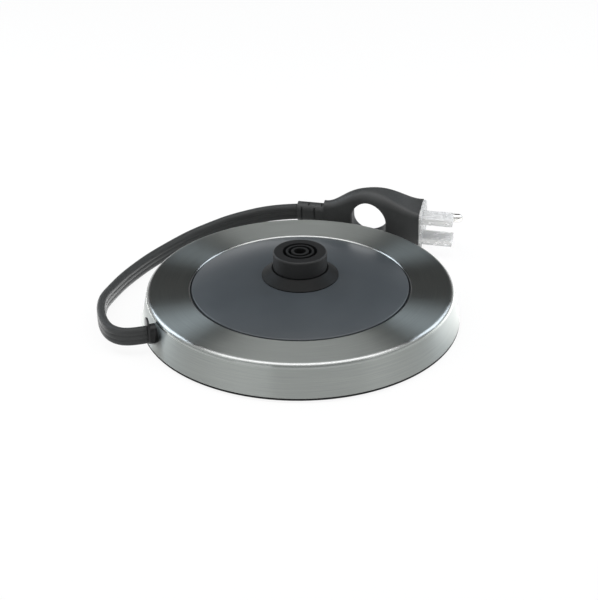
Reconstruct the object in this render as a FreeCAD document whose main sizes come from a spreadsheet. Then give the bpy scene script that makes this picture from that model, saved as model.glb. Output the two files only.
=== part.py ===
import FreeCAD, Part
import math
import os
import Sketcher

doc = FreeCAD.newDocument("kettle_power_base")
sheet = doc.addObject("Spreadsheet::Sheet", "Sizes")

# Driving dimensions: millimetres, and degrees for the two turns
driving_sizes = {
    # Bottom pan and feet
    "base_radius": 80.0,
    "foot_lift": 1.0,
    "pan_rim_height": 0.9,
    "pan_floor": 2.0,
    "pan_edge_round": 0.5,
    "pan_wall": 1.6,
    "pan_wall_height": 1.6,
    "pan_wall_gap": 0.5,
    "foot_radius": 6.0,
    "foot_recess": 1.0,
    "foot_clearance": 0.1,
    "foot_inset": 14.0,
    # Screws that hold the deck on the pan
    "pan_screw_inset": 14.5,
    "pan_screw_radius": 1.4,
    "pan_screw_length": 11.0,
    "screw_clearance": 0.3,
    "thread_clearance": 0.05,
    "pan_screw_head_radius": 3.0,
    "pan_screw_head_height": 1.8,
    "screw_head_sink": 0.6,
    "well_wall": 1.8,
    "well_seat": 2.0,
    "deck_boss_radius": 4.0,
    # Brushed steel shell
    "shell_thickness": 0.6,
    "shell_top": 18.5,
    "skirt_taper": 3.6,
    "shoulder_round": 2.4,
    "lip_radius": 54.8,
    "lip_drop": 2.0,
    "lip_round": 1.2,
    # Domed deck
    "deck_gap": 0.5,
    "deck_edge_height": 18.4,
    "deck_edge_round": 0.5,
    "deck_crown_height": 24.1,
    "deck_crown_radius": 109.0,
    "deck_flat_radius": 19.5,
    "deck_wall": 2.4,
    "deck_groove": 2.2,
    "deck_groove_floor": 1.2,
    "deck_groove_clearance": 0.6,
    "deck_flange": 1.6,
    "deck_flange_clearance": 4.8,
    "bore_clearance": 0.3,
    # Round connector in the middle
    "hub_radius": 13.4,
    "hub_rise": 13.2,
    "hub_top_round": 1.0,
    "hub_step": 0.3,
    "hub_flange_edge": 3.5,
    "hub_flange": 2.5,
    "hub_boss_height": 2.0,
    "socket_radius": 3.0,
    "inner_slot_radius": 4.4,
    "inner_slot_width": 1.5,
    "outer_slot_radius": 7.0,
    "outer_slot_width": 1.6,
    "slot_depth": 9.5,
    "collar_radius": 19.1,
    "collar_edge": 0.5,
    "collar_height": 4.3,
    "collar_top_wall": 0.5,
    "hub_screw_clearance": 1.4,
    "hub_screw_boss_radius": 3.2,
    "hub_screw_radius": 1.3,
    "hub_screw_reach": 2.6,
    "hub_screw_head_radius": 2.6,
    "hub_screw_head_height": 1.8,
    # Contact carrier under the connector
    "carrier_radius": 20.5,
    "carrier_wall": 2.0,
    "carrier_floor": 2.0,
    "carrier_room": 5.0,
    "carrier_screw_circle": 14.0,
    "carrier_screw_radius": 1.1,
    "carrier_screw_reach": 2.0,
    "carrier_screw_head_radius": 2.0,
    "carrier_screw_head_height": 1.4,
    "carrier_post_radius": 2.4,
    # Spring contacts and their terminals
    "leaf_thickness": 0.5,
    "leaf_width": 3.0,
    "leaf_height": 2.0,
    "leaf_reach": 13.0,
    "tongue_width": 2.0,
    "tongue_thickness": 0.6,
    "tongue_rise": 2.2,
    "tongue_gap": 0.3,
    "live_pin_radius": 1.2,
    "window_clearance": 0.5,
    "contact_gap": 0.3,
    "terminal_width": 4.0,
    "terminal_foot": 3.0,
    "terminal_tab": 0.8,
    "terminal_reach": 24.0,
    "notch_clearance": 0.3,
    # Cord, its gland and the clamp inside
    "cord_width": 9.3,
    "cord_thickness": 4.4,
    "exit_standoff": 1.28,
    "exit_bearing": 204.263,
    "exit_height": 10.0,
    "exit_turn": 163.0,
    "gland_rise": 2.0,
    "gland_flange": 1.0,
    "gland_flange_height": 13.4,
    "gland_flange_width": 9.0,
    "gland_neck": 6.0,
    "gland_neck_height": 10.2,
    "gland_neck_width": 6.4,
    "gland_back_flange": 1.4,
    "gland_back_height": 12.2,
    "gland_back_width": 9.4,
    "gland_hole_clearance": 0.15,
    "inner_cord_length": 13.0,
    "clamp_start": 3.0,
    "clamp_length": 9.0,
    "clamp_plate": 2.4,
    "clamp_height": 11.0,
    "clamp_lift": 0.3,
    "clamp_screw_radius": 0.7,
    "clamp_screw_inset": 2.2,
    "clamp_screw_rise": 1.25,
    "clamp_screw_head_radius": 1.1,
    "clamp_screw_head_height": 1.0,
    "lead_radius": 1.2,
    "lead_run_in": 8.0,
    # Plug at the end of the cord
    "plug_face_x": 65.3,
    "plug_face_y": 67.8,
    "plug_axis_height": 16.9,
    "plug_turn": 13.0,
    "plug_lean": 8.0,
    "plug_half_height": 17.6,
    "plug_neck_place": 54.0,
    "plug_neck_offset": 5.8,
    "plug_neck_half_width": 3.4,
    "plug_neck_half_height": 7.6,
    "plug_neck_round": 3.2,
    "plug_ring_back": 31.0,
    "plug_ring_front": 22.0,
    "plug_ring_swell": 0.3,
    "plug_ring_near": 1.0,
    "plug_ring_far": 11.6,
    "plug_ring_front_near": -1.4,
    "plug_ring_front_far": 12.8,
    "plug_ring_round": 5.0,
    "plug_wall": 1.9,
    "plug_face_half_height": 11.6,
    "plug_face_round": 3.0,
    "plug_face_far_round": 9.0,
    "finger_hole_centre": 28.4,
    "finger_hole_length": 19.4,
    "finger_hole_height": 22.0,
    "finger_hole_round": 1.4,
    "relief_start": 69.0,
    "relief_core_height": 9.8,
    "relief_core_width": 5.4,
    "relief_height": 11.2,
    "relief_width": 7.0,
    "relief_slot": 0.9,
    "bridge_depth": 6.5,
    "bridge_margin": 1.4,
    "bridge_pin_wall": 0.6,
    "bridge_round": 1.5,
    "bridge_far_round": 6.5,
    "blade_width": 6.4,
    "blade_thickness": 1.5,
    "blade_length": 16.6,
    "blade_taper": 1.2,
    "blade_root": 5.0,
    "blade_spacing": 12.7,
    "blade_hole_radius": 1.6,
    "blade_hole_place": 11.9,
    "pin_offset": 11.9,
    "pin_radius": 2.4,
    "pin_length": 21.8,
    "cover_flange": 1.6,
    "cover_inset": 0.4,
    "cover_wall": 0.8,
    "cover_end": 1.0,
    "cover_clearance": 0.4,
}
for row, (alias, number) in enumerate(driving_sizes.items(), start=1):
    sheet.set(f"A{row}", alias)
    sheet.set(f"B{row}", str(number))
    sheet.setAlias(f"B{row}", alias)
doc.recompute()

# Largest rounding that the low wall at the deck's edge has room for, as a multiple of its height
rounding_room = 1.15

# Counts of repeated pieces
foot_count = 4
pan_screw_count = 4
hub_screw_count = 3
hub_screw_first_angle = 70
carrier_screw_angles = (80, 260)
foot_first_angle = 45

# Free route of the cord from the gland to the plug, standing on its edge on the floor
cord_route = [
    (-74.1, -33.4, 10.0),
    (-82.6, -36.0, 9.7),
    (-91.2, -32.2, 9.4),
    (-96.5, -22.0, 8.7),
    (-99.5, -8.4, 8.0),
    (-99.9, 4.8, 7.1),
    (-97.2, 17.1, 5.6),
    (-93.1, 29.9, 5.1),
    (-87.5, 42.0, 4.85),
    (-80.8, 54.0, 4.85),
    (-71.8, 65.4, 5.5),
    (-60.9, 76.4, 7.0),
    (-49.0, 83.6, 9.0),
    (-36.2, 88.0, 12.0),
    (-14.4, 91.8, 15.6),
    (-0.75, 88.7, 17.2),
]
# Routes of the insulated leads inside, from the terminals to where they turn into the sheath
lead_routes = {
    "live": [(31.5, -0.4, 14.0), (38.5, -4.2, 13.0), (42.0, -12.5, 11.8), (40.0, -23.5, 10.6),
             (31.0, -34.0, 9.4), (15.0, -41.0, 8.4), (-4.0, -42.5, 7.8), (-21.0, -38.0, 7.4),
             (-34.5, -30.5, 7.3)],
    "neutral": [(-31.0, 4.3, 14.2), (-36.5, -0.5, 13.7), (-40.0, -8.0, 13.2), (-42.0, -16.0, 12.8)],
    "earth": [(30.4, -8.1, 14.0), (36.2, -12.4, 13.4), (37.0, -19.5, 12.7), (32.5, -26.0, 12.0),
              (22.0, -31.0, 11.4), (5.0, -35.0, 10.8), (-13.0, -33.0, 10.3), (-29.0, -27.5, 10.1)],
}
# Share of the shorter run that an arc of a cord takes up at each side of a point
arc_share = 0.45


class Size:
    """A number together with the spreadsheet expression that gives it."""

    def __init__(self, value, text):
        self.value = value
        self.text = text

    def __add__(self, other):
        other = as_size(other)
        return Size(self.value + other.value, f"({self.text} + {other.text})")

    def __sub__(self, other):
        other = as_size(other)
        return Size(self.value - other.value, f"({self.text} - {other.text})")

    def __rsub__(self, other):
        return as_size(other) - self

    def __mul__(self, number):
        return Size(self.value * number, f"({self.text} * {number})")

    def __truediv__(self, number):
        return Size(self.value / number, f"({self.text} / {number})")

    def __neg__(self):
        return Size(-self.value, f"(0 - {self.text})")

    __radd__ = __add__
    __rmul__ = __mul__


def as_size(number):
    if isinstance(number, Size):
        return number
    return Size(float(number), str(float(number)))


def smaller(first, second):
    return Size(min(first.value, second.value), f"min({first.text}; {second.text})")


class SheetSizes:
    """Gives each driving dimension of the sheet as a Size."""

    def __getattr__(self, alias):
        return Size(sheet.get(alias), f"Sizes.{alias}")


size = SheetSizes()
parts = {}


def node(name, thing):
    """Names a finished sub-part, whose shape is written to a file of that name."""
    thing.Label = name
    parts[name] = thing
    return thing


def bind(thing, prop, number):
    thing.setExpression(prop, as_size(number).text)


def place(thing, x=0, y=0, z=0):
    for axis, number in zip("xyz", (x, y, z)):
        bind(thing, f"Placement.Base.{axis}", number)
    return thing


def on_circle(radius, degrees):
    """Plan position at an angle on a circle."""
    return (radius * math.cos(math.radians(degrees)), radius * math.sin(math.radians(degrees)))


# Sketches inside a body

def attach(body, role, name, offset=0):
    sketch = body.newObject("Sketcher::SketchObject", name)
    plane = [item for item in body.Origin.OriginFeatures if item.Role == role][0]
    sketch.AttachmentSupport = [(plane, "")]
    sketch.MapMode = "FlatFace"
    bind(sketch, "AttachmentOffset.Base.z", offset)
    return sketch


def fix_point(sketch, geometry, end, x, y):
    """Ties one end of a sketch line or arc to the sheet, measured from the origin."""
    for kind, axis, number in (("DistanceX", -2, as_size(x)), ("DistanceY", -1, as_size(y))):
        if number.text == "0.0":
            sketch.addConstraint(Sketcher.Constraint("PointOnObject", geometry, end, axis))
            continue
        index = sketch.addConstraint(Sketcher.Constraint(kind, -1, 1, geometry, end, number.value))
        sketch.setExpression(f"Constraints[{index}]", number.text)


def arc_between(start, finish, radius):
    """Arc from start to finish; a positive radius bulges to the left of that way."""
    middle = (start + finish) * 0.5
    half = (finish - start) * 0.5
    left = FreeCAD.Vector(-half.y, half.x, 0).normalize()
    rise = math.sqrt(max(radius * radius - half.Length * half.Length, 0))
    side = 1 if radius > 0 else -1
    centre = middle - left * (side * rise)
    top = centre + left * (side * abs(radius))
    return Part.Arc(start, top, finish)


def outline_sketch(body, role, name, outline, offset=0):
    """Closed outline of points (x, y) or (x, y, radius of the arc that arrives there)."""
    sketch = attach(body, role, name, offset)
    corners = [FreeCAD.Vector(as_size(p[0]).value, as_size(p[1]).value, 0) for p in outline]
    starts = []
    ends = []
    for index, point in enumerate(outline):
        before = corners[index - 1]
        here = corners[index]
        if len(point) == 3:
            radius = as_size(point[2])
            arc = arc_between(before, here, radius.value)
            geometry = sketch.addGeometry(arc, False)
            forward = sketch.getPoint(geometry, 1).distanceToPoint(before) < 1e-6
            starts.append((geometry, 1 if forward else 2))
            ends.append((geometry, 2 if forward else 1))
            bound = sketch.addConstraint(Sketcher.Constraint("Radius", geometry, abs(radius.value)))
            text = radius.text if radius.value > 0 else (-radius).text
            sketch.setExpression(f"Constraints[{bound}]", text)
        else:
            geometry = sketch.addGeometry(Part.LineSegment(before, here), False)
            starts.append((geometry, 1))
            ends.append((geometry, 2))
    for index, point in enumerate(outline):
        following = starts[(index + 1) % len(outline)]
        sketch.addConstraint(Sketcher.Constraint("Coincident", *ends[index], *following))
        fix_point(sketch, *ends[index], point[0], point[1])
    return sketch


def revolved_body(name, outline):
    """Body turned about the Z axis from an outline of (radius, height) points."""
    body = doc.addObject("PartDesign::Body", f"{name}_body")
    sketch = outline_sketch(body, "XZ_Plane", f"{name}_profile", outline)
    turn = body.newObject("PartDesign::Revolution", f"{name}_turned")
    turn.Profile = sketch
    turn.ReferenceAxis = (sketch, ["V_Axis"])
    turn.Angle = 360
    doc.recompute()
    return body


def padded_body(name, role, outline, start, depth):
    """Body raised from an outline, between two distances along its plane's normal."""
    body = doc.addObject("PartDesign::Body", f"{name}_body")
    sketch = outline_sketch(body, role, f"{name}_outline", outline, start)
    pad = body.newObject("PartDesign::Pad", f"{name}_pad")
    pad.Profile = sketch
    bind(pad, "Length", depth)
    doc.recompute()
    return body


def round_circles(body, places, radius, name):
    """Fillets the circular edges that lie at the given (radius, height) places."""
    found = []
    for index, edge in enumerate(body.Shape.Edges, start=1):
        if not isinstance(edge.Curve, Part.Circle):
            continue
        for ring, height in places:
            same_ring = abs(edge.Curve.Radius - as_size(ring).value) < 1e-4
            if same_ring and abs(edge.Curve.Center.z - as_size(height).value) < 1e-4:
                found.append(f"Edge{index}")
    fillet = body.newObject("PartDesign::Fillet", name)
    fillet.Base = (body.Tip if body.Tip != fillet else fillet.BaseFeature, found)
    bind(fillet, "Radius", radius)
    doc.recompute()
    return fillet


# Primitives and booleans

def block(name, length, width, height, x, y, z):
    thing = doc.addObject("Part::Box", name)
    bind(thing, "Length", length)
    bind(thing, "Width", width)
    bind(thing, "Height", height)
    return place(thing, x, y, z)


def rod(name, radius, height, x, y, z, along="z"):
    thing = doc.addObject("Part::Cylinder", name)
    bind(thing, "Radius", radius)
    bind(thing, "Height", height)
    turns = {"z": (0, 0, 1, 0), "x": (0, 1, 0, 90), "y": (1, 0, 0, -90)}
    *axis, angle = turns[along]
    thing.Placement.Rotation = FreeCAD.Rotation(FreeCAD.Vector(*axis), angle)
    return place(thing, x, y, z)


def joined(name, *things):
    fuse = doc.addObject("Part::MultiFuse", name)
    fuse.Shapes = list(things)
    fuse.Refine = True
    return fuse


def without(name, base, *tools):
    cut = doc.addObject("Part::Cut", name)
    cut.Base = base
    cut.Tool = tools[0] if len(tools) == 1 else joined(f"{name}_tools", *tools)
    cut.Refine = True
    return cut


def group(name, *things):
    """Separate equal solids that share one node."""
    compound = doc.addObject("Part::Compound", name)
    compound.Links = list(things)
    return compound


def rounded_outline(left, right, low, high, near_round, far_round):
    """Rectangle with rounded corners, near corners on the left and far corners on the right."""
    return [
        (left + near_round, low, -near_round),
        (right - far_round, low),
        (right, low + far_round, -far_round),
        (right, high - far_round),
        (right - far_round, high, -far_round),
        (left + near_round, high),
        (left, high - near_round, -near_round),
        (left, low + near_round),
    ]


def oval_outline(width, height):
    """Upright oval of two straight sides and two half rounds, centred on the origin."""
    half = width / 2
    straight = height / 2 - half
    return [
        (half, straight),
        (0, straight + half, -half),
        (-half, straight, -half),
        (-half, -straight),
        (0, -(straight + half), -half),
        (half, -straight, -half),
    ]


def moved(outline, x=0, y=0):
    return [(p[0] + x, p[1] + y, *p[2:]) for p in outline]


# Heights and radii that several pieces share
pan_bottom = size.foot_lift
pan_rim_top = pan_bottom + size.pan_rim_height
pan_top = pan_bottom + size.pan_floor
pan_screw_circle = size.base_radius - size.pan_screw_inset
foot_circle = size.base_radius - size.foot_inset
well_top = pan_bottom + size.screw_head_sink + size.pan_screw_head_height + size.well_seat
shoulder_radius = size.base_radius - size.skirt_taper
flange_top = size.shell_top - size.shell_thickness
flange_bottom = flange_top - size.deck_flange
deck_flange_radius = shoulder_radius - size.shell_thickness - size.deck_flange_clearance
deck_radius = size.lip_radius - size.deck_gap
deck_under = size.deck_crown_height - size.deck_wall
hub_top = size.deck_crown_height + size.hub_rise
hub_seat_height = deck_under - size.hub_boss_height
hub_bottom = hub_seat_height - size.hub_flange
hub_screw_circle = size.carrier_radius + size.hub_screw_head_radius + size.hub_screw_clearance
hub_flange_radius = hub_screw_circle + size.hub_flange_edge
slot_floor = hub_top - size.slot_depth
carrier_top = hub_bottom
carrier_deck = carrier_top - size.carrier_room
carrier_bottom = carrier_deck - size.carrier_floor
leaf_bottom = carrier_deck + size.leaf_height
tongue_top = slot_floor + size.tongue_rise
neutral_offset = size.inner_slot_radius + size.tongue_gap + size.tongue_thickness / 2
earth_offset = size.outer_slot_radius + size.tongue_gap + size.tongue_thickness / 2
collar_top = size.deck_crown_height + size.collar_height
exit_x, exit_y = on_circle(size.base_radius + size.exit_standoff, size.exit_bearing.value)
bridge_near = -(size.blade_width / 2 + size.bridge_margin)
bridge_far = size.pin_offset + size.pin_radius + size.bridge_pin_wall
bridge_height = size.blade_spacing + size.blade_thickness + 2 * size.bridge_margin
plug_face_near = bridge_near - size.plug_wall
plug_face_far = bridge_far + size.plug_wall

# Axis of the turns in plan, which run clockwise
downward = FreeCAD.Vector(0, 0, -1)


def at_exit(thing):
    """Turns a piece from its own frame, +X out of the gland, to the cord's exit."""
    thing.Placement.Rotation = FreeCAD.Rotation(downward, size.exit_turn.value)
    bind(thing, "Placement.Rotation.Angle", size.exit_turn)
    return place(thing, exit_x, exit_y, size.exit_height)


def at_plug(thing):
    """Leans a piece about its own X axis, out of the plug's face, and sets it where the plug stands."""
    leaned = group(f"{thing.Name}_leaned", thing)
    leaned.Placement.Rotation = FreeCAD.Rotation(FreeCAD.Vector(1, 0, 0), size.plug_lean.value)
    bind(leaned, "Placement.Rotation.Angle", size.plug_lean)
    placed = group(f"{thing.Name}_placed", leaned)
    placed.Placement.Rotation = FreeCAD.Rotation(downward, size.plug_turn.value)
    bind(placed, "Placement.Rotation.Angle", size.plug_turn)
    return place(placed, size.plug_face_x, size.plug_face_y, size.plug_axis_height)


# Bottom pan with its rim, upstand, screw wells and foot recesses
def make_base_pan():
    wall_top = pan_top + size.pan_wall_height
    slope = (size.base_radius - shoulder_radius).value / (size.shell_top - pan_rim_top).value
    skirt_inside = size.base_radius - size.shell_thickness - (wall_top - pan_rim_top) * slope
    wall_outside = skirt_inside - size.pan_wall_gap
    wall_inside = wall_outside - size.pan_wall
    body = revolved_body("pan", [
        (0, pan_bottom),
        (size.base_radius, pan_bottom),
        (size.base_radius, pan_rim_top),
        (wall_outside, pan_rim_top),
        (wall_outside, wall_top),
        (wall_inside, wall_top),
        (wall_inside, pan_top),
        (0, pan_top),
    ])
    round_circles(body, [(size.base_radius, pan_bottom)], size.pan_edge_round, "pan_edge")
    well_radius = size.pan_screw_head_radius + size.screw_clearance + size.well_wall
    solids = [body]
    cuts = []
    for index in range(pan_screw_count):
        x, y = on_circle(pan_screw_circle, index * 360 / pan_screw_count)
        solids.append(rod(f"well_{index}", well_radius, well_top - pan_bottom, x, y, pan_bottom))
        head_room = size.pan_screw_head_radius + size.screw_clearance
        head_depth = size.screw_head_sink + size.pan_screw_head_height
        cuts.append(rod(f"well_head_{index}", head_room, head_depth, x, y, pan_bottom))
        shank_room = size.pan_screw_radius + size.screw_clearance
        cuts.append(rod(f"well_shank_{index}", shank_room, well_top, x, y, pan_bottom))
    for index in range(foot_count):
        x, y = on_circle(foot_circle, foot_first_angle + index * 360 / foot_count)
        cuts.append(rod(f"foot_seat_{index}", size.foot_radius + size.foot_clearance, size.foot_recess, x, y,
                        pan_bottom))
    wall_length = size.clamp_length
    clamp_wall = block("cord_wall", wall_length, size.clamp_plate,
                       size.clamp_height + size.clamp_lift,
                       -(gland_length() + size.clamp_start + wall_length), size.cord_thickness / 2,
                       pan_top - size.exit_height)
    clamp_wall_placed = at_exit(group("cord_wall_placed", clamp_wall))
    solids.append(clamp_wall_placed)
    cuts.append(at_exit(group("clamp_pilots", *clamp_screw_shanks("pilot", size.thread_clearance))))
    return node("base_pan", without("base_pan", joined("pan_solids", *solids), *cuts))


def gland_length():
    return size.gland_flange + size.gland_neck + size.gland_back_flange


def clamp_screw_places():
    back = gland_length() + size.clamp_start
    first = -(back + size.clamp_screw_inset)
    last = -(back + size.clamp_length - size.clamp_screw_inset)
    height = pan_top + size.clamp_lift + size.clamp_screw_rise - size.exit_height
    return [(first, height), (last, height)]


def clamp_screw_shanks(name, clearance):
    """Shanks of the clamp screws, through the plate and the pan's wall, under the cord."""
    reach = size.cord_thickness / 2 + size.clamp_plate
    return [rod(f"{name}_{index}", size.clamp_screw_radius + clearance, reach * 2, x, -reach, z, "y")
            for index, (x, z) in enumerate(clamp_screw_places())]


def make_feet():
    for index in range(foot_count):
        x, y = on_circle(foot_circle, foot_first_angle + index * 360 / foot_count)
        height = size.foot_lift + size.foot_recess
        foot = rod(f"foot_{index}", size.foot_radius, height, x, y, 0)
        node(f"rubber_foot_{index + 1}", foot)


def screw(name, shank_radius, shank_length, head_radius, head_height, x, y, seat):
    """Screw driven upwards, its head hanging under the seat height."""
    shank = rod(f"{name}_shank", shank_radius, shank_length, x, y, seat)
    head = rod(f"{name}_head", head_radius, head_height, x, y, seat - head_height)
    return joined(name, shank, head)


def make_pan_screws():
    seat = well_top - size.well_seat
    screws = []
    for index in range(pan_screw_count):
        x, y = on_circle(pan_screw_circle, index * 360 / pan_screw_count)
        screws.append(screw(f"pan_screw_{index}", size.pan_screw_radius, size.pan_screw_length,
                            size.pan_screw_head_radius, size.pan_screw_head_height, x, y, seat))
    node("pan_screws", group("pan_screws", *screws))


# Spun steel shell: flat ring, turned-down lip and conical skirt
def make_steel_shell():
    wall = size.shell_thickness
    body = revolved_body("shell", [
        (size.base_radius, pan_rim_top),
        (shoulder_radius, size.shell_top),
        (size.lip_radius, size.shell_top),
        (size.lip_radius, size.shell_top - size.lip_drop),
        (size.lip_radius + wall, size.shell_top - size.lip_drop),
        (size.lip_radius + wall, flange_top),
        (shoulder_radius - wall, flange_top),
        (size.base_radius - wall, pan_rim_top),
    ])
    round_circles(body, [(shoulder_radius, size.shell_top)], size.shoulder_round, "shell_shoulder")
    round_circles(body, [(shoulder_radius - wall, flange_top)], size.shoulder_round - wall,
                  "shell_shoulder_inside")
    round_circles(body, [(size.lip_radius, size.shell_top)], size.lip_round, "shell_lip")
    round_circles(body, [(size.lip_radius + wall, flange_top)], size.lip_round - wall, "shell_lip_inside")
    hole_outline = oval_outline(size.gland_neck_width + 2 * size.gland_hole_clearance,
                                size.gland_neck_height + 2 * size.gland_hole_clearance)
    hole = padded_body("gland_hole", "YZ_Plane", hole_outline, -gland_length(), gland_length())
    return node("steel_shell", without("steel_shell", body, at_exit(hole)))


# Domed plastic deck that carries the shell and the connector
def make_deck():
    bore = size.hub_radius + size.bore_clearance
    groove_outside = size.lip_radius + size.lip_round + size.deck_groove_clearance
    groove_top = size.shell_top - size.lip_drop - size.deck_groove_clearance
    groove_under = groove_top - size.deck_groove_floor
    body = revolved_body("deck", [
        (bore, size.deck_crown_height),
        (size.deck_flat_radius, size.deck_crown_height),
        (deck_radius, size.deck_edge_height, size.deck_crown_radius),
        (deck_radius, groove_top),
        (groove_outside, groove_top),
        (groove_outside, flange_top),
        (deck_flange_radius, flange_top),
        (deck_flange_radius, flange_bottom),
        (groove_outside + size.deck_groove, flange_bottom),
        (groove_outside + size.deck_groove, groove_under),
        (deck_radius - size.deck_wall, groove_under),
        (deck_radius - size.deck_wall, size.deck_edge_height - size.deck_wall),
        (size.deck_flat_radius, deck_under, -size.deck_crown_radius),
        (bore, deck_under),
    ])
    edge_round = smaller(size.deck_edge_round, (size.deck_edge_height - groove_top) * rounding_room)
    round_circles(body, [(deck_radius, size.deck_edge_height)], edge_round, "deck_edge")
    solids = [body]
    cuts = []
    for index in range(pan_screw_count):
        x, y = on_circle(pan_screw_circle, index * 360 / pan_screw_count)
        boss_height = flange_bottom - well_top
        solids.append(rod(f"deck_boss_{index}", size.deck_boss_radius, boss_height, x, y, well_top))
        hole = size.pan_screw_radius + size.thread_clearance
        cuts.append(rod(f"deck_boss_hole_{index}", hole, size.pan_screw_length - size.well_seat, x, y,
                        well_top))
    for index in range(hub_screw_count):
        x, y = on_circle(hub_screw_circle, hub_screw_first_angle + index * 360 / hub_screw_count)
        boss_height = deck_under + size.deck_wall / 2 - hub_seat_height
        solids.append(rod(f"hub_boss_{index}", size.hub_screw_boss_radius, boss_height, x, y,
                          hub_seat_height))
        cuts.append(rod(f"hub_boss_hole_{index}", size.hub_screw_radius + size.thread_clearance,
                        size.hub_screw_reach, x, y, hub_seat_height))
    return node("deck", without("deck", joined("deck_solids", *solids), *cuts))


# Connector hub: flanged cylinder with a centre socket, two ring slots and windows for the contacts
def make_connector_hub():
    inner_outside = size.inner_slot_radius + size.inner_slot_width
    outer_outside = size.outer_slot_radius + size.outer_slot_width
    hub_stem = size.hub_radius - size.hub_step
    stem_top = collar_top + size.hub_step
    body = revolved_body("hub", [
        (size.socket_radius, hub_bottom),
        (hub_flange_radius, hub_bottom),
        (hub_flange_radius, hub_seat_height),
        (hub_stem, hub_seat_height),
        (hub_stem, stem_top),
        (size.hub_radius, stem_top),
        (size.hub_radius, hub_top),
        (outer_outside, hub_top),
        (outer_outside, slot_floor),
        (size.outer_slot_radius, slot_floor),
        (size.outer_slot_radius, hub_top),
        (inner_outside, hub_top),
        (inner_outside, slot_floor),
        (size.inner_slot_radius, slot_floor),
        (size.inner_slot_radius, hub_top),
        (size.socket_radius, hub_top),
    ])
    round_circles(body, [(size.hub_radius, hub_top)], size.hub_top_round, "hub_top_edge")
    cuts = []
    tall = slot_floor - hub_bottom
    long = size.tongue_width + 4 * size.window_clearance
    wide = size.tongue_thickness + 2 * (size.window_clearance / 2)
    for name, offset in (("neutral", neutral_offset), ("earth", -earth_offset)):
        cuts.append(block(f"{name}_window", long, wide, tall, -(long / 2), offset - wide / 2, hub_bottom))
    for index in range(hub_screw_count):
        x, y = on_circle(hub_screw_circle, hub_screw_first_angle + index * 360 / hub_screw_count)
        cuts.append(rod(f"hub_hole_{index}", size.hub_screw_radius + size.screw_clearance, size.hub_flange,
                        x, y, hub_bottom))
    for index, angle in enumerate(carrier_screw_angles):
        x, y = on_circle(size.carrier_screw_circle, angle)
        cuts.append(rod(f"carrier_pilot_{index}", size.carrier_screw_radius + size.thread_clearance,
                        size.carrier_screw_reach, x, y, hub_bottom))
    return node("connector_hub", without("connector_hub", body, *cuts))


def make_connector_collar():
    bore = size.hub_radius + size.bore_clearance
    foot = size.deck_crown_height
    body = revolved_body("collar", [
        (bore, foot),
        (size.collar_radius, foot),
        (size.collar_radius, foot + size.collar_edge),
        (bore + size.collar_top_wall, collar_top),
        (bore, collar_top),
    ])
    return node("connector_collar", body)


def make_hub_screws():
    screws = []
    for index in range(hub_screw_count):
        x, y = on_circle(hub_screw_circle, hub_screw_first_angle + index * 360 / hub_screw_count)
        screws.append(screw(f"hub_screw_{index}", size.hub_screw_radius,
                            size.hub_flange + size.hub_screw_reach, size.hub_screw_head_radius,
                            size.hub_screw_head_height, x, y, hub_bottom))
    node("connector_screws", group("connector_screws", *screws))


# Contacts: the side they lead to along X, and how far off the middle they stand along Y
contact_layout = {
    "live": (1, 0),
    "neutral": (-1, neutral_offset),
    "earth": (1, -earth_offset),
}


def side_block(name, side, start, length, width, height, y, z):
    """Block that starts a distance from the middle and runs out along +X or -X."""
    x = start if side > 0 else -(start + length)
    return block(name, length, width, height, x, y - width / 2, z)


# Moulded cup under the hub that holds the terminals
def make_contact_carrier():
    inside = size.carrier_radius - size.carrier_wall
    cup = revolved_body("carrier", [
        (0, carrier_bottom),
        (size.carrier_radius, carrier_bottom),
        (size.carrier_radius, carrier_top),
        (inside, carrier_top),
        (inside, carrier_deck),
        (0, carrier_deck),
    ])
    solids = [cup]
    cuts = []
    for index, angle in enumerate(carrier_screw_angles):
        x, y = on_circle(size.carrier_screw_circle, angle)
        solids.append(rod(f"carrier_post_{index}", size.carrier_post_radius, size.carrier_room, x, y,
                          carrier_deck))
        cuts.append(rod(f"carrier_hole_{index}", size.carrier_screw_radius + size.thread_clearance,
                        size.carrier_floor + size.carrier_room, x, y, carrier_bottom))
    for name, (side, y) in contact_layout.items():
        width = size.terminal_width + 2 * size.notch_clearance
        height = size.leaf_height + size.terminal_tab + size.notch_clearance
        cuts.append(side_block(f"{name}_notch", side, size.leaf_reach + size.contact_gap,
                               size.carrier_radius, width, height, y, carrier_deck))
    return node("contact_carrier", without("contact_carrier", joined("carrier_solids", *solids), *cuts))


def make_carrier_screws():
    screws = []
    for index, angle in enumerate(carrier_screw_angles):
        x, y = on_circle(size.carrier_screw_circle, angle)
        shank = size.carrier_floor + size.carrier_room + size.carrier_screw_reach
        screws.append(screw(f"carrier_screw_{index}", size.carrier_screw_radius, shank,
                            size.carrier_screw_head_radius, size.carrier_screw_head_height, x, y,
                            carrier_bottom))
    node("carrier_screws", group("carrier_screws", *screws))


def make_contacts():
    for name, (side, y) in contact_layout.items():
        start = -(size.leaf_width / 2)
        leaf = side_block(f"{name}_leaf", side, start, size.leaf_reach - start, size.leaf_width,
                          size.leaf_thickness, y, leaf_bottom)
        if name == "live":
            tongue = rod("live_pin", size.live_pin_radius, tongue_top - leaf_bottom, 0, y, leaf_bottom)
        else:
            tongue = block(f"{name}_tongue", size.tongue_width, size.tongue_thickness,
                           tongue_top - leaf_bottom, -(size.tongue_width / 2),
                           y - size.tongue_thickness / 2, leaf_bottom)
        node(f"{name}_contact", joined(f"{name}_contact", leaf, tongue))


def make_terminals():
    for name, (side, y) in contact_layout.items():
        start = size.leaf_reach + size.contact_gap
        foot = side_block(f"{name}_foot", side, start, size.terminal_foot, size.terminal_width,
                          size.leaf_height + size.terminal_tab, y, carrier_deck)
        tab = side_block(f"{name}_tab", side, start, size.terminal_reach - start, size.terminal_width,
                         size.terminal_tab, y, carrier_deck + size.leaf_height)
        node(f"{name}_terminal", joined(f"{name}_terminal", foot, tab))


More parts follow.
